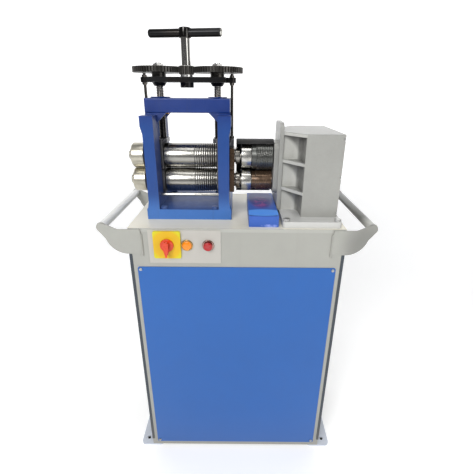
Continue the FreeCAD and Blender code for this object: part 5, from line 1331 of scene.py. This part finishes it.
@dataclass
class Cabinet:
    """Sheet steel cabinet with its deck, panels, corner strips, foot flanges and push handles."""

    handle_radius: float = 0.012
    handle_wall: float = 0.002
    handle_x: float = 0.366
    handle_z: float = 0.853
    depth_half: float = 0.175
    anchor_x: float = 0.319
    anchor_y: float = 0.15
    seam_x: float = 0.2612
    seam_out: float = 0.0010
    seam_low: float = 0.767
    seam_height: float = 0.0695
    seam_radius: float = 0.0034
    seam_ripple: float = 0.0045

    def build(self, finishes: Finishes) -> None:
        """Builds and dresses the cabinet.

        Args:
            finishes: the finishes to choose from.
        """
        finishes.soften(
            ("cabinet_shell", 0.0022, "cabinet_grey"), ("deck_plate", 0.0016, "deck_cream"),
            ("front_panel", 0.0008, "panel_blue"), ("rear_panel", 0.0008, "cabinet_grey"),
            ("edge_trims", 0.0006, "trim_dark"), ("foot_flanges", 0.0012, "flange_reflection_grey"),
            ("handle_brackets", 0.0010, "bracket_grey"), ("panel_screws", 0.0005, "fastener_steel"))
        finishes.give(self.tubes(), "handle_grey")
        finishes.give(self.welds(), "bracket_grey")
        finishes.give(self.anchors(), "dark_steel")

    def handle(self, side: int) -> Triple:
        """Middle of the push tube on one side."""
        return (side * self.handle_x, 0.0, self.handle_z)

    def welds(self) -> bpy.types.Object:
        """Painted welds: a bead down the inner edge of each bracket foot and a ring round each tube end.

        Returns:
            The piece.
        """
        tube = self.handle_radius
        fillet = ((0.0, tube - 0.0003), (0.0, tube + 0.0014), (0.0013, tube + 0.0013),
                  (0.0028, tube + 0.0005), (0.0036, tube - 0.0003))
        seams = []
        for side in BOTH:
            for end in BOTH:
                foot = (side * self.seam_x, end * (self.depth_half + self.seam_out), self.seam_low)
                seams.append(bead(foot, self.seam_height, self.seam_radius, self.seam_ripple))
                ring = [(end * (self.depth_half - back), radius) for back, radius in fillet]
                seams.append(lathe(ring, Axis.Y, self.handle(side), 64, 0.0004))
        return Surface.joined(seams).piece("handle_welds", "stand")

    def anchors(self) -> bpy.types.Object:
        """Dark floor screws in the holes of the foot flanges: shallow domes with a sunk middle.

        Returns:
            The piece.
        """
        dome = ((0.0, 0.0), (0.0, 0.0050), (0.0030, 0.0050), (0.0042, 0.0038), (0.0046, 0.0026),
                (0.0024, 0.0024), (0.0022, 0.0))
        screws = [lathe(dome, Axis.Z, (side * self.anchor_x, end * self.anchor_y, 0), 32, 0.0002)
                  for side in BOTH for end in BOTH]
        return Surface.joined(screws).piece("floor_screws", "stand")

    def tubes(self) -> bpy.types.Object:
        """The two push tubes, with their open ends rounded.

        Returns:
            The piece.
        """
        outer = self.handle_radius
        inner = outer - self.handle_wall
        end = self.depth_half
        wall = eased([(-end, inner), (-end, outer), (end, outer), (end, inner)], 0.0006, closed=True)
        wall = np.concatenate([wall, wall[:1]])
        tubes = [lathe(wall, Axis.Y, self.handle(side), 64) for side in BOTH]
        return Surface.joined(tubes).stand_in("handle_tubes", "stand")


@dataclass
class ControlPlate:
    """Plate with the isolator, the pilot lamp and the stop button."""

    isolator: Triple = (-0.191, -0.183, 0.804)
    lamp: Triple = (-0.137, -0.177, 0.802)
    stop: Triple = (-0.079, -0.177, 0.802)
    knob_radius: float = 0.0185
    knob_gap: float = 0.00003
    knob_stem: float = 0.005
    grip_half: float = 0.0055
    grip_face: float = -0.021
    pointer: float = 0.027
    bezel_radius: float = 0.0165
    bezel_face: float = -0.004
    lens_radius: float = 0.0126
    lens_rise: float = 0.0045
    button_back: float = -0.00803
    button_stem: float = 0.006

    def build(self, finishes: Finishes) -> None:
        """Builds and dresses the plate and its switches.

        Args:
            finishes: the finishes to choose from.
        """
        finishes.soften(("control_plate", 0.0006, "control_beige"), ("isolator_plate", 0.0014, "sign_yellow"),
                        ("switch_blocks", 0.0010, "switch_black"))
        finishes.give(self.knob(), "knob_red")
        finishes.give(self.lamp_rim(), "rim_brass")
        finishes.give(self.lamp_lens(), "lens_amber")
        finishes.give(self.stop_bezel(), "rim_copper")
        finishes.give(self.stop_button(), "button_red")

    def knob(self) -> bpy.types.Object:
        """Round knob with a raised grip that tapers to a pointer.

        Returns:
            The piece.
        """
        x, y, z = self.isolator
        face = (x, y - self.knob_gap, z)
        r = self.knob_radius
        half = self.grip_half
        tip = -self.pointer
        line = [(0, 0), (0, r), (-0.0045, r), (-0.006, r - 0.0015), (-0.006, 0)]
        disc = lathe(line, Axis.Y, face, 72, 0.0004)
        corners = [(-half, -half), (tip, -0.0006), (tip, 0.0006), (-half, half), (r - half, half),
                   (r - half, -half)]
        grip = plate(eased(corners, 0.0022, 5, closed=True), Axis.Y, face, self.grip_face, -0.004, 0.0016, 4)
        stem = lathe([(0.001, self.knob_stem), (0.027, self.knob_stem), (0.027, 0)], Axis.Y, face, 32)
        return Surface.joined([disc, grip, stem]).stand_in("isolator_knob", "isolator")

    def bezel(self) -> list[tuple[float, float]]:
        """Outer wall and chamfered front rim that lamp and stop button share.

        Returns:
            Lengths along Y and radii.
        """
        r = self.bezel_radius
        front = self.bezel_face
        return [(0, r), (front + 0.0012, r), (front, r - 0.0012)]

    def lamp_rim(self) -> bpy.types.Object:
        """Rim of the pilot lamp.

        Returns:
            The piece.
        """
        inner = [(self.bezel_face, 0.0132), (-0.0025, 0.0128), (-0.0025, 0)]
        rim = lathe([(0, 0)] + self.bezel() + inner, Axis.Y, self.lamp, 72, 0.0004)
        return rim.piece("pilot_lamp_rim", "stand")

    def lamp_lens(self) -> bpy.types.Object:
        """Domed lens of the pilot lamp: at angle a it stands out by sin a and narrows with cos^0.6 a.

        Returns:
            The piece, in place of the whole lamp.
        """
        angle = np.linspace(0.0, math.pi / 2, 12)
        r = self.lens_radius
        dome = np.stack([-0.0045 - self.lens_rise * np.sin(angle), r * np.cos(angle) ** 0.6], axis=1)
        dome[-1, 1] = 0.0
        glass = lathe(np.concatenate([[(-0.002, 0.0), (-0.002, r)], dome]), Axis.Y, self.lamp, 72)
        piece = glass.piece("pilot_lamp_lens", "stand")
        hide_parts("pilot_lamp")
        return piece

    def stop_bezel(self) -> bpy.types.Object:
        """Bright ring round the stop button.

        Returns:
            The piece.
        """
        bore = 0.0062
        line = [(0, bore)] + self.bezel() + [(self.bezel_face, 0.0088), (-0.0034, bore), (0, bore)]
        return lathe(line, Axis.Y, self.stop, 72, 0.0003).stand_in("stop_bezel", "stand")

    def stop_button(self) -> bpy.types.Object:
        """Mushroom button with a shallow hollow in its face, on its stem.

        Returns:
            The piece.
        """
        stem = self.button_stem
        head = ((0.0, stem), (0.0, 0.0117), (0.0012, 0.0125), (0.0040, 0.0123), (0.0062, 0.0112),
                (0.0070, 0.0088), (0.0066, 0.0060), (0.0064, 0.0))
        line = [(0.005, 0), (0.005, stem)] + [(self.button_back - out, radius) for out, radius in head]
        return lathe(line, Axis.Y, self.stop, 72, 0.0006).stand_in("stop_button", "stop")


@dataclass
class RollStand:
    """Blue cast stand with its screw nuts, chocks, bushes, feed bar and drip box."""

    left_face: float = -0.2514
    right_face: float = -0.0226
    plate_half: float = 0.029
    plate_thick: float = 0.013
    plate_bore: float = 0.0206
    plate_rim: float = 0.0012

    def build(self, finishes: Finishes) -> None:
        """Builds and dresses the stand.

        Args:
            finishes: the finishes to choose from.
        """
        finishes.soften(
            ("mill_body", 0.0024, "mill_blue"), ("screw_nuts", 0.0006, "bronze"),
            ("lower_chocks", 0.0010, "chock_steel"), ("upper_chocks", 0.0010, "chock_steel"),
            ("bronze_bushes", 0.0004, "bronze"), ("upper_bushes", 0.0004, "bronze"),
            ("drip_box", 0.0010, "box_blue"))
        finishes.give(self.feed_bar(), "bright_steel_x")
        finishes.give(self.end_plates("lower", "stand", 0.9125, 0.9792), "greasy_iron")
        finishes.give(self.end_plates("upper", "bridge", 0.9808, 1.040), "greasy_iron")

    def end_plates(self, level: str, body: str, low: float, high: float) -> bpy.types.Object:
        """Greasy cover plates that close the bearings of one roll outside both columns.

        Each plate is a fan round the roll: the inner edge is the bore, the outer edge the nearest point of
        the rectangle in the same direction, so ring and rectangle share one grid.

        Args:
            level: upper or lower.
            body: the body that the plates ride on.
            low: their lower edge.
            high: their upper edge.

        Returns:
            The piece.
        """
        z = middle(level + "_roll")[2]
        t = np.radians(np.arange(0.0, 360.0, 3.0))
        across, up = np.cos(t), np.sin(t)
        room = np.where(up > 0, high - z, z - low)
        reach = np.minimum(self.plate_half / np.maximum(np.abs(across), 1e-6),
                           room / np.maximum(np.abs(up), 1e-6))
        rim = self.plate_rim
        plates = []
        for inner in (self.right_face, self.left_face - self.plate_thick):
            outer = inner + self.plate_thick
            rows = np.array([(inner, 0.0), (inner, 1.0), (inner + rim, 1.0), (outer - rim, 1.0),
                             (outer, 0.97), (outer, 0.0)])
            share = rows[:, 1:]
            radius = self.plate_bore * (1 - share) + reach * share
            points = Axis.X.placed(rows[:, :1], radius * across, z + radius * up)
            plates.append(Surface.grid(points, close_rows=True, close_columns=True))
        return Surface.joined(plates).piece(level + "_bearing_end_plates", body)

    def feed_bar(self) -> bpy.types.Object:
        """Polished bar in front of the rolls, chamfered at both ends.

        Returns:
            The piece.
        """
        low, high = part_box("feed_bar")
        centre = middle("feed_bar")
        r = (high.z - low.z) / 2
        line = [(low.x, 0)] + cylinder(low.x, high.x, r, 0.0008) + [(high.x, 0)]
        bar = lathe(line, Axis.X, (0, centre[1], centre[2]), 48, 0.0002)
        return bar.stand_in("feed_bar", "stand")


@dataclass
class RollPair:
    """The two grooved rolls and the two short side rolls on their left ends."""

    radius: float = 0.0355
    barrel_half: float = 0.076
    plain_end: float = 0.010
    groove_pitch: float = 0.0064
    groove_depth: float = 0.0012
    groove_growth: float = 0.00016
    grooves: int = 10
    chamfer: float = 0.0008
    neck: float = 0.020
    shoulder: float = 0.025
    shoulder_out: float = 0.0012
    stud: float = 0.013
    seat: float = 0.015
    seat_end: float = 0.0405
    collar_left: float = -0.006
    collar_right: float = 0.007
    side_left: float = -0.310
    side_right: float = -0.270
    side_bore: float = 0.0151
    side_chamfer: float = 0.004
    nut_radius: float = 0.017
    nut_height: float = 0.008
    washer_radius: float = 0.0196

    def build(self, finishes: Finishes) -> None:
        """Builds and dresses the rolls.

        Args:
            finishes: the finishes to choose from.
        """
        for level, z in LEVELS.items():
            finishes.give(self.roll(level, z), "roll_steel")
            finishes.give(self.side_roll(level, z), "side_roll_steel")

    def profile(self, node: str) -> Profile:
        """Stud, seat of the side roll, necks, barrel with its V grooves, thrust collar and right seat.

        Args:
            node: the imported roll, which gives the left end.

        Returns:
            Lengths along X and radii.
        """
        left = MIDDLE_X - self.barrel_half
        right = MIDDLE_X + self.barrel_half
        end = edge(node, Axis.X, False)
        r = self.radius
        c = self.chamfer
        barrel = cylinder(left, right, r, c)
        line = [(end + 0.004, 0.0), (end, 0.0035), (end, self.stud - c), (end + c, self.stud),
                (self.side_left, self.stud), (self.side_left, self.seat), (self.side_right, self.seat),
                (self.side_right, self.neck), (left - self.shoulder_out, self.neck),
                (left - self.shoulder_out, self.shoulder), (left, self.shoulder), *barrel[:2]]
        for number in range(self.grooves):
            at = MIDDLE_X + self.plain_end + (number + 0.5) * self.groove_pitch
            depth = self.groove_depth + self.groove_growth * number
            line += groove(at, depth, r, depth)
        return line + [*barrel[2:], (right, self.shoulder), (right + self.shoulder_out, self.shoulder),
                       (right + self.shoulder_out, self.neck), (self.collar_left, self.neck),
                       *cylinder(self.collar_left, self.collar_right, self.shoulder, c),
                       (self.collar_right, self.seat), (self.seat_end, self.seat), (self.seat_end, 0.0)]

    def roll(self, level: str, z: float) -> bpy.types.Object:
        """One roll with its driving tongue.

        Args:
            level: upper or lower.
            z: height of its axis.

        Returns:
            The piece.
        """
        body = lathe(self.profile(level + "_roll"), Axis.X, (0, 0, z), 160, 0.00015)
        flat, wide = 0.006, 0.012
        outline = eased([(-flat, -wide), (flat, -wide), (flat, wide), (-flat, wide)], 0.0006, 5, closed=True)
        tongue = plate(outline, Axis.X, (0, 0, z), 0.039, 0.0605, 0.0006)
        return Surface.joined([body, tongue]).stand_in(level + "_roll", level + "_line")

    def side_roll(self, level: str, z: float) -> bpy.types.Object:
        """Short roll with its retaining nut and a washer under it.

        Args:
            level: upper or lower.
            z: height of its axis.

        Returns:
            The piece.
        """
        axle = (0, 0, z)
        right = self.side_right
        left = self.side_left
        sunk = left + 0.0012
        ring = [(right, self.side_bore), *cylinder(left, right, self.radius, self.side_chamfer)[::-1],
                (left, 0.0235), (sunk, 0.0225), (sunk, self.side_bore)]
        body = lathe(ring + ring[:1], Axis.X, axle, 128, 0.0004)
        t = np.radians(np.arange(6) * 60.0 + 30.0)
        hexagon = eased(self.nut_radius * np.stack([np.cos(t), np.sin(t)], axis=1), 0.0012, 4, closed=True)
        nut = plate(hexagon, Axis.X, axle, left - self.nut_height, left, 0.0011)
        washer = lathe([(left - 0.0015, 0.0131), (left - 0.0015, self.washer_radius),
                        (sunk, self.washer_radius)], Axis.X, axle, 64, 0.0003)
        return Surface.joined([body, nut, washer]).stand_in(level + "_side_roll", level + "_line")


@dataclass
class GapGear:
    """Screws, gears, bridge, pull rods, spindle and T handle that set the roll gap."""

    spindle_y: float = -0.028723
    spindle_radius: float = 0.012
    pin_radius: float = 0.009
    pin_top: float = 1.253
    bar_z: float = 1.328
    bar_radius: float = 0.010
    bar_half: float = 0.0975
    bar_turn: float = -9.0
    bar_round: float = 0.0056
    worn_skin: float = 0.0002
    hub_radius: float = 0.0155
    hub_half: float = 0.012
    screw_offset: float = 0.080
    screw_radius: float = 0.011
    stud_radius: float = 0.009
    lead: float = 0.004
    thread_depth: float = 0.0019

    def build(self, finishes: Finishes) -> None:
        """Builds and dresses the gap gear.

        Args:
            finishes: the finishes to choose from.
        """
        finishes.soften(
            ("bridge_plate", 0.0010, "dark_steel"), ("adjusting_pinion", 0.0003, "gear_steel"),
            ("left_screw_gear", 0.0003, "gear_steel"), ("right_screw_gear", 0.0003, "gear_steel"),
            ("spindle_bush", 0.0005, "bright_steel_z"), ("pull_rods", 0.0004, "rod_steel"))
        for side, x in (("left", MIDDLE_X - self.screw_offset), ("right", MIDDLE_X + self.screw_offset)):
            finishes.give(self.threads(side, x), "screw_steel")
            finishes.give(self.stud(side, x), "bright_steel_z")
        finishes.give(self.spindle(), "spindle_steel")
        finishes.give(self.cross_bar(), "dark_steel")
        finishes.give(self.worn_end(), "bright_steel_x")

    def threads(self, side: str, x: float) -> bpy.types.Object:
        """Threaded part of a pressure screw, up to the bridge.

        Args:
            side: left or right.
            x: place of its axis.

        Returns:
            The piece.
        """
        node = side + "_pressure_screw"
        low = edge(node, Axis.Z, False)
        top = edge("bridge_plate", Axis.Z, True) - 0.004
        body = thread(self.screw_radius, self.lead, self.thread_depth, low, top, (x, 0, 0))
        return body.stand_in(node, side + "_screw")

    def stud(self, side: str, x: float) -> bpy.types.Object:
        """Upper end of a pressure screw, turned down for its gear and chamfered.

        Args:
            side: left or right.
            x: place of its axis.

        Returns:
            The piece.
        """
        top = edge(side + "_pressure_screw", Axis.Z, True)
        seat = edge("bridge_plate", Axis.Z, True)
        r = self.stud_radius
        line = [(seat - 0.0045, 0), (seat - 0.0045, self.screw_radius), (seat, self.screw_radius), (seat, r),
                (top - 0.001, r), (top, r - 0.001), (top, 0)]
        return lathe(line, Axis.Z, (x, 0, 0), 48, 0.0002).piece(side + "_screw_stud", side + "_screw")

    def spindle(self) -> bpy.types.Object:
        """Spindle with a step under the pinion and a turned hub.

        Returns:
            The piece.
        """
        low = edge("adjusting_spindle", Axis.Z, False)
        pin = self.pin_radius
        r = self.hub_radius
        base = self.bar_z - self.hub_half
        top = self.bar_z + self.hub_half
        line = [(low, 0), (low, pin - 0.0006), (low + 0.0006, pin), (self.pin_top, pin),
                (self.pin_top, self.spindle_radius), (base, self.spindle_radius), (base, r - 0.001),
                (base + 0.001, r), (top - 0.0015, r), (top, r - 0.0015), (top, 0)]
        body = lathe(line, Axis.Z, (MIDDLE_X, self.spindle_y, 0), 72, 0.0004)
        return body.stand_in("adjusting_spindle", "spindle")

    def across(self, line: np.ndarray, sides: int) -> Surface:
        """A profile turned about the axis of the cross bar."""
        centre = (MIDDLE_X, self.spindle_y, self.bar_z)
        return lathe(line, Axis.X, centre, sides).turned(Axis.Z, self.bar_turn, centre)

    def cap(self, radius: float, angle: np.ndarray) -> np.ndarray:
        """Profile of the bar's rounded right end: a curve of the given radius round the rounding's centre.

        Args:
            radius: radius of the curve.
            angle: angles from the bar's side to its end face.

        Returns:
            Lengths along the bar and radii.
        """
        c = self.bar_round
        return np.stack([self.bar_half - c + radius * np.sin(angle),
                         self.bar_radius - c + radius * np.cos(angle)], axis=1)

    def cross_bar(self) -> bpy.types.Object:
        """Cross bar with rounded ends.

        Returns:
            The piece.
        """
        cap = self.cap(self.bar_round, np.linspace(0.0, math.pi / 2, 7))
        half = self.bar_half
        line = np.concatenate([[(-half, 0.0)], (cap * (-1.0, 1.0))[::-1], cap, [(half, 0.0)]])
        return self.across(line, 64).stand_in("t_bar", "spindle")

    def worn_end(self) -> bpy.types.Object:
        """Bright worn face on the right end of the cross bar, a skin over its rounding.

        Returns:
            The piece.
        """
        dome = self.cap(self.bar_round + self.worn_skin, np.linspace(0.0, math.pi / 2, 7)[1:])
        start = dome[:1] - (0.0, 0.0008)
        tip = (self.bar_half + self.worn_skin, 0.0)
        line = np.concatenate([[(dome[0, 0], 0.0)], start, dome, [tip]])
        return self.across(line, 48).piece("t_bar_worn_end", "spindle")


@dataclass
class CouplingLine:
    """Coupling rings, the ribbed upper sleeve, the greasy lower sleeve and the guard over them."""

    ring_left: float = 0.011
    ring_right: float = 0.0405
    ring_bore: float = 0.0151
    ring_chamfer: float = 0.001
    left: float = 0.0415
    right: float = 0.102
    chamfer: float = 0.0008
    upper_radius: float = 0.041
    lower_radius: float = 0.0295
    upper_mouth: float = 0.030
    lower_mouth: float = 0.0265
    mouth_depth: float = 0.010
    collar: float = 0.012
    collar_drop: float = 0.003
    ribs: int = 9
    rib_pitch: float = 0.005
    rib_depth: float = 0.0016

    def build(self, finishes: Finishes) -> None:
        """Builds and dresses the couplings.

        Args:
            finishes: the finishes to choose from.
        """
        for level in LEVELS:
            finishes.give(self.ring(level), "bright_steel_x")
        upper = self.sleeve("upper", "upper_output", self.upper_radius, self.upper_mouth, self.ribs)
        lower = self.sleeve("lower", "lower_line", self.lower_radius, self.lower_mouth, 0)
        finishes.give(upper, "sleeve_black")
        finishes.give(lower, "sleeve_brown")
        finishes.soften(("coupling_guard", 0.0005, "guard_black"))

    def ring(self, level: str) -> bpy.types.Object:
        """Bright ring with chamfered rims.

        Args:
            level: upper or lower.

        Returns:
            The piece.
        """
        node = level + "_coupling_ring"
        left, right = self.ring_left, self.ring_right
        r = (edge(node, Axis.Z, True) - edge(node, Axis.Z, False)) / 2
        line = [(left, self.ring_bore), *cylinder(left, right, r, self.ring_chamfer), (right, self.ring_bore)]
        shape = lathe(line + line[:1], Axis.X, (0, 0, LEVELS[level]), 96, 0.0003)
        return shape.stand_in(node, level + "_line")

    def sleeve(self, level: str, body: str, radius: float, mouth: float, ribs: int) -> bpy.types.Object:
        """Hollow-mouthed sleeve with a lower collar, and fine ribs round it where there are any.

        Args:
            level: upper or lower.
            body: the body that it rides on.
            radius: outer radius.
            mouth: radius of its mouth.
            ribs: number of ribs.

        Returns:
            The piece.
        """
        left, right, c = self.left, self.right, self.chamfer
        end = left + self.collar
        low = radius - self.collar_drop
        line = [(left + self.mouth_depth, 0.0), (left + self.mouth_depth, mouth - 0.002), (left, mouth),
                (left, low - c), (left + c, low), (end, low), (end + 0.0004, radius)]
        for rib in range(ribs):
            at = end + (rib + 0.5) * self.rib_pitch
            line += groove(at, self.rib_depth / 2, radius, self.rib_depth)
        line += [(right - c, radius), (right, radius - c), (right, 0.0)]
        shape = lathe(line, Axis.X, (0, 0, LEVELS[level]), 128, 0.0003)
        return shape.stand_in(level + "_coupling_sleeve", body)


@dataclass
class Gearbox:
    """Ribbed gearbox with its covers, shafts, gears, pulley and fasteners."""

    def build(self, finishes: Finishes) -> None:
        """Builds and dresses the gearbox.

        Args:
            finishes: the finishes to choose from.
        """
        finishes.soften(
            ("gearbox_case", 0.0024, "gearbox_grey"), ("bearing_cap", 0.0020, "gearbox_grey"),
            ("gear_chamber_lid", 0.0010, "gearbox_grey"), ("gearbox_side_cover", 0.0020, "gearbox_grey"),
            ("cover_screws", 0.0006, "fastener_steel"), ("bed_bolts", 0.0008, "bolt_steel"),
            ("bull_gear", 0.0004, "gear_steel"), ("lower_pinion_shaft", 0.0004, "bright_steel_x"),
            ("upper_pinion_shaft", 0.0004, "bright_steel_x"),
            ("input_pinion_shaft", 0.0004, "bright_steel_x"), ("input_pulley", 0.0005, "dark_steel"))


@dataclass
class DriveTrain:
    """Motor with its reducer, pulley and belt on the shelf inside the cabinet."""

    def build(self, finishes: Finishes) -> None:
        """Builds and dresses the drive.

        Args:
            finishes: the finishes to choose from.
        """
        finishes.soften(
            ("motor_shelf", 0.0008, "cabinet_grey"), ("motor_frame", 0.0008, "motor_grey"),
            ("motor_gearhead", 0.0020, "motor_grey"), ("motor_pulley", 0.0005, "dark_steel"),
            ("motor_shaft", 0.0004, "bright_steel_x"), ("drive_belt", 0.0004, "belt_rubber"))


@dataclass(frozen=True)
class Light:
    """Round area light that faces a point."""

    name: str
    place: Triple
    target: Triple
    size: float
    power: float

    def build(self) -> None:
        """Puts the light in the scene."""
        lamp = bpy.data.lights.new(self.name, "AREA")
        lamp.shape = "DISK"
        lamp.size = self.size
        lamp.energy = self.power
        holder = shown(self.name, lamp)
        holder.location = self.place
        gaze = Vector(self.target) - Vector(self.place)
        holder.rotation_euler = gaze.to_track_quat("-Z", "Y").to_euler()


@dataclass
class Studio:
    """Pale floor, soft lights and the camera."""

    lens: float = 26.05
    sensor: float = 36.0
    nearest: float = 0.01
    farthest: float = 60.0
    camera: Triple = (0.0, -1.035, 1.190)
    tilt: float = 22.9
    roll: float = 0.45
    floor_front: float = -6.0
    floor_half: float = 7.0
    sweep_start: float = 1.6
    sweep_radius: float = 1.2
    sweep_top: float = 6.0
    paper_reach: float = 20.0
    sky: Triple = (0.95, 0.96, 1.0)
    sky_strength: float = 0.20
    lights: tuple[Light, ...] = (
        Light("key_light", (-1.1, -2.7, 2.5), (0.0, 0.0, 0.7), 1.5, 71.0),
        Light("fill_light", (2.3, -2.2, 1.4), (0.0, 0.0, 0.7), 1.6, 24.0),
        Light("top_light", (0.0, -0.5, 3.2), (0.0, 0.0, 0.8), 1.4, 16.0))

    def build(self) -> None:
        """Sets the stage."""
        self.floor()
        self.backdrop()
        self.world()
        for light in self.lights:
            light.build()
        self.eye()
        bpy.context.scene.view_settings.view_transform = "Standard"

    def eye(self) -> None:
        """Camera in front of the mill, tilted down and rolled a little."""
        data = bpy.data.cameras.new("camera")
        data.lens = self.lens
        data.sensor_width = self.sensor
        data.clip_start = self.nearest
        data.clip_end = self.farthest
        camera = shown("camera", data)
        camera.location = self.camera
        turn = Matrix.Rotation(math.radians(90.0 - self.tilt), 3, "X")
        turn = turn @ Matrix.Rotation(math.radians(self.roll), 3, "Z")
        camera.rotation_euler = turn.to_euler()
        bpy.context.scene.camera = camera

    @staticmethod
    def sheet(name: str, surface: Surface) -> bpy.types.Object:
        """A plain surface of quads, with its corners in their own order.

        Args:
            name: name of the object.
            surface: the surface.

        Returns:
            The object.
        """
        mesh = bpy.data.meshes.new(name)
        mesh.from_pydata(surface.points.tolist(), [], surface.corners.reshape(-1, 4).tolist())
        return shown(name, mesh)

    def floor(self) -> None:
        """Pale floor that sweeps up behind: flat, then a quarter circle, then upright."""
        angle = np.linspace(0.0, math.pi / 2, 16)
        radius = self.sweep_radius
        start = self.sweep_start
        bend = np.stack([start + radius * np.sin(angle), radius * (1 - np.cos(angle))], axis=1)
        line = np.concatenate([[(self.floor_front, 0.0)], bend, [(start + radius, self.sweep_top)]])
        x = np.linspace(self.floor_half, -self.floor_half, 9)[None, :]
        ground = self.sheet("floor", Surface.grid(Axis.X.placed(x, line[:, :1], line[:, 1:])))
        ground.data.shade_smooth()
        bench = Shader("floor_paper")
        cloud = bench.noise(1.4, 3.0)
        x, y, z = bench.axes()
        away = (x ** 2.0 + y ** 2.0) ** 0.5
        glow = 0.25 + z.between(0.1, 1.4) * 0.19 + away.between(1.6, 5.0) * 0.48
        ground.data.materials.append(bench.finish(
            Base_Color=bench.scaled((0.90, 0.90, 0.90), 0.98 + cloud * 0.04), Roughness=0.75 + cloud * 0.1,
            Emission_Color=bench.scaled((1.0, 1.0, 1.0), glow), Emission_Strength=1.0))

    def backdrop(self) -> None:
        """Pale paper far off all round, a ball round the studio that gives and takes no light."""
        turn = np.radians(np.arange(0.0, 360.0, 7.5))[None, :]
        rise = np.radians(np.arange(-90.0, 90.1, 7.5))[:, None]
        ball = Axis.Z.placed(np.sin(rise), np.cos(rise) * np.cos(turn), np.cos(rise) * np.sin(turn))
        paper = self.sheet("backdrop", Surface.grid(self.paper_reach * ball, close_columns=True))
        for sense in ("visible_diffuse", "visible_glossy", "visible_transmission", "visible_shadow"):
            setattr(paper, sense, False)
        paper.data.materials.append(Shader("backdrop_paper").finish(
            Base_Color=(0.0, 0.0, 0.0), Roughness=1.0, Specular_IOR_Level=0.0,
            Emission_Color=(0.995, 0.995, 0.995), Emission_Strength=1.0))

    def world(self) -> None:
        """Even pale light from all round."""
        world = bpy.data.worlds.new("studio")
        world.use_nodes = True
        ground = world.node_tree.nodes["Background"]
        ground.inputs["Color"].default_value = (*self.sky, 1.0)
        ground.inputs["Strength"].default_value = self.sky_strength
        bpy.context.scene.world = world


def main() -> None:
    """Builds the mill in the order of its sub-assemblies."""
    logging.basicConfig(level=logging.INFO, format="%(name)s %(message)s")
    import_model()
    finishes = Finishes()
    for assembly in (Cabinet(), ControlPlate(), RollStand(), RollPair(), GapGear(), CouplingLine(), Gearbox(),
                     DriveTrain()):
        log.info("building %s", type(assembly).__name__)
        assembly.build(finishes)
    Studio().build()


if __name__ == "__main__":
    main()
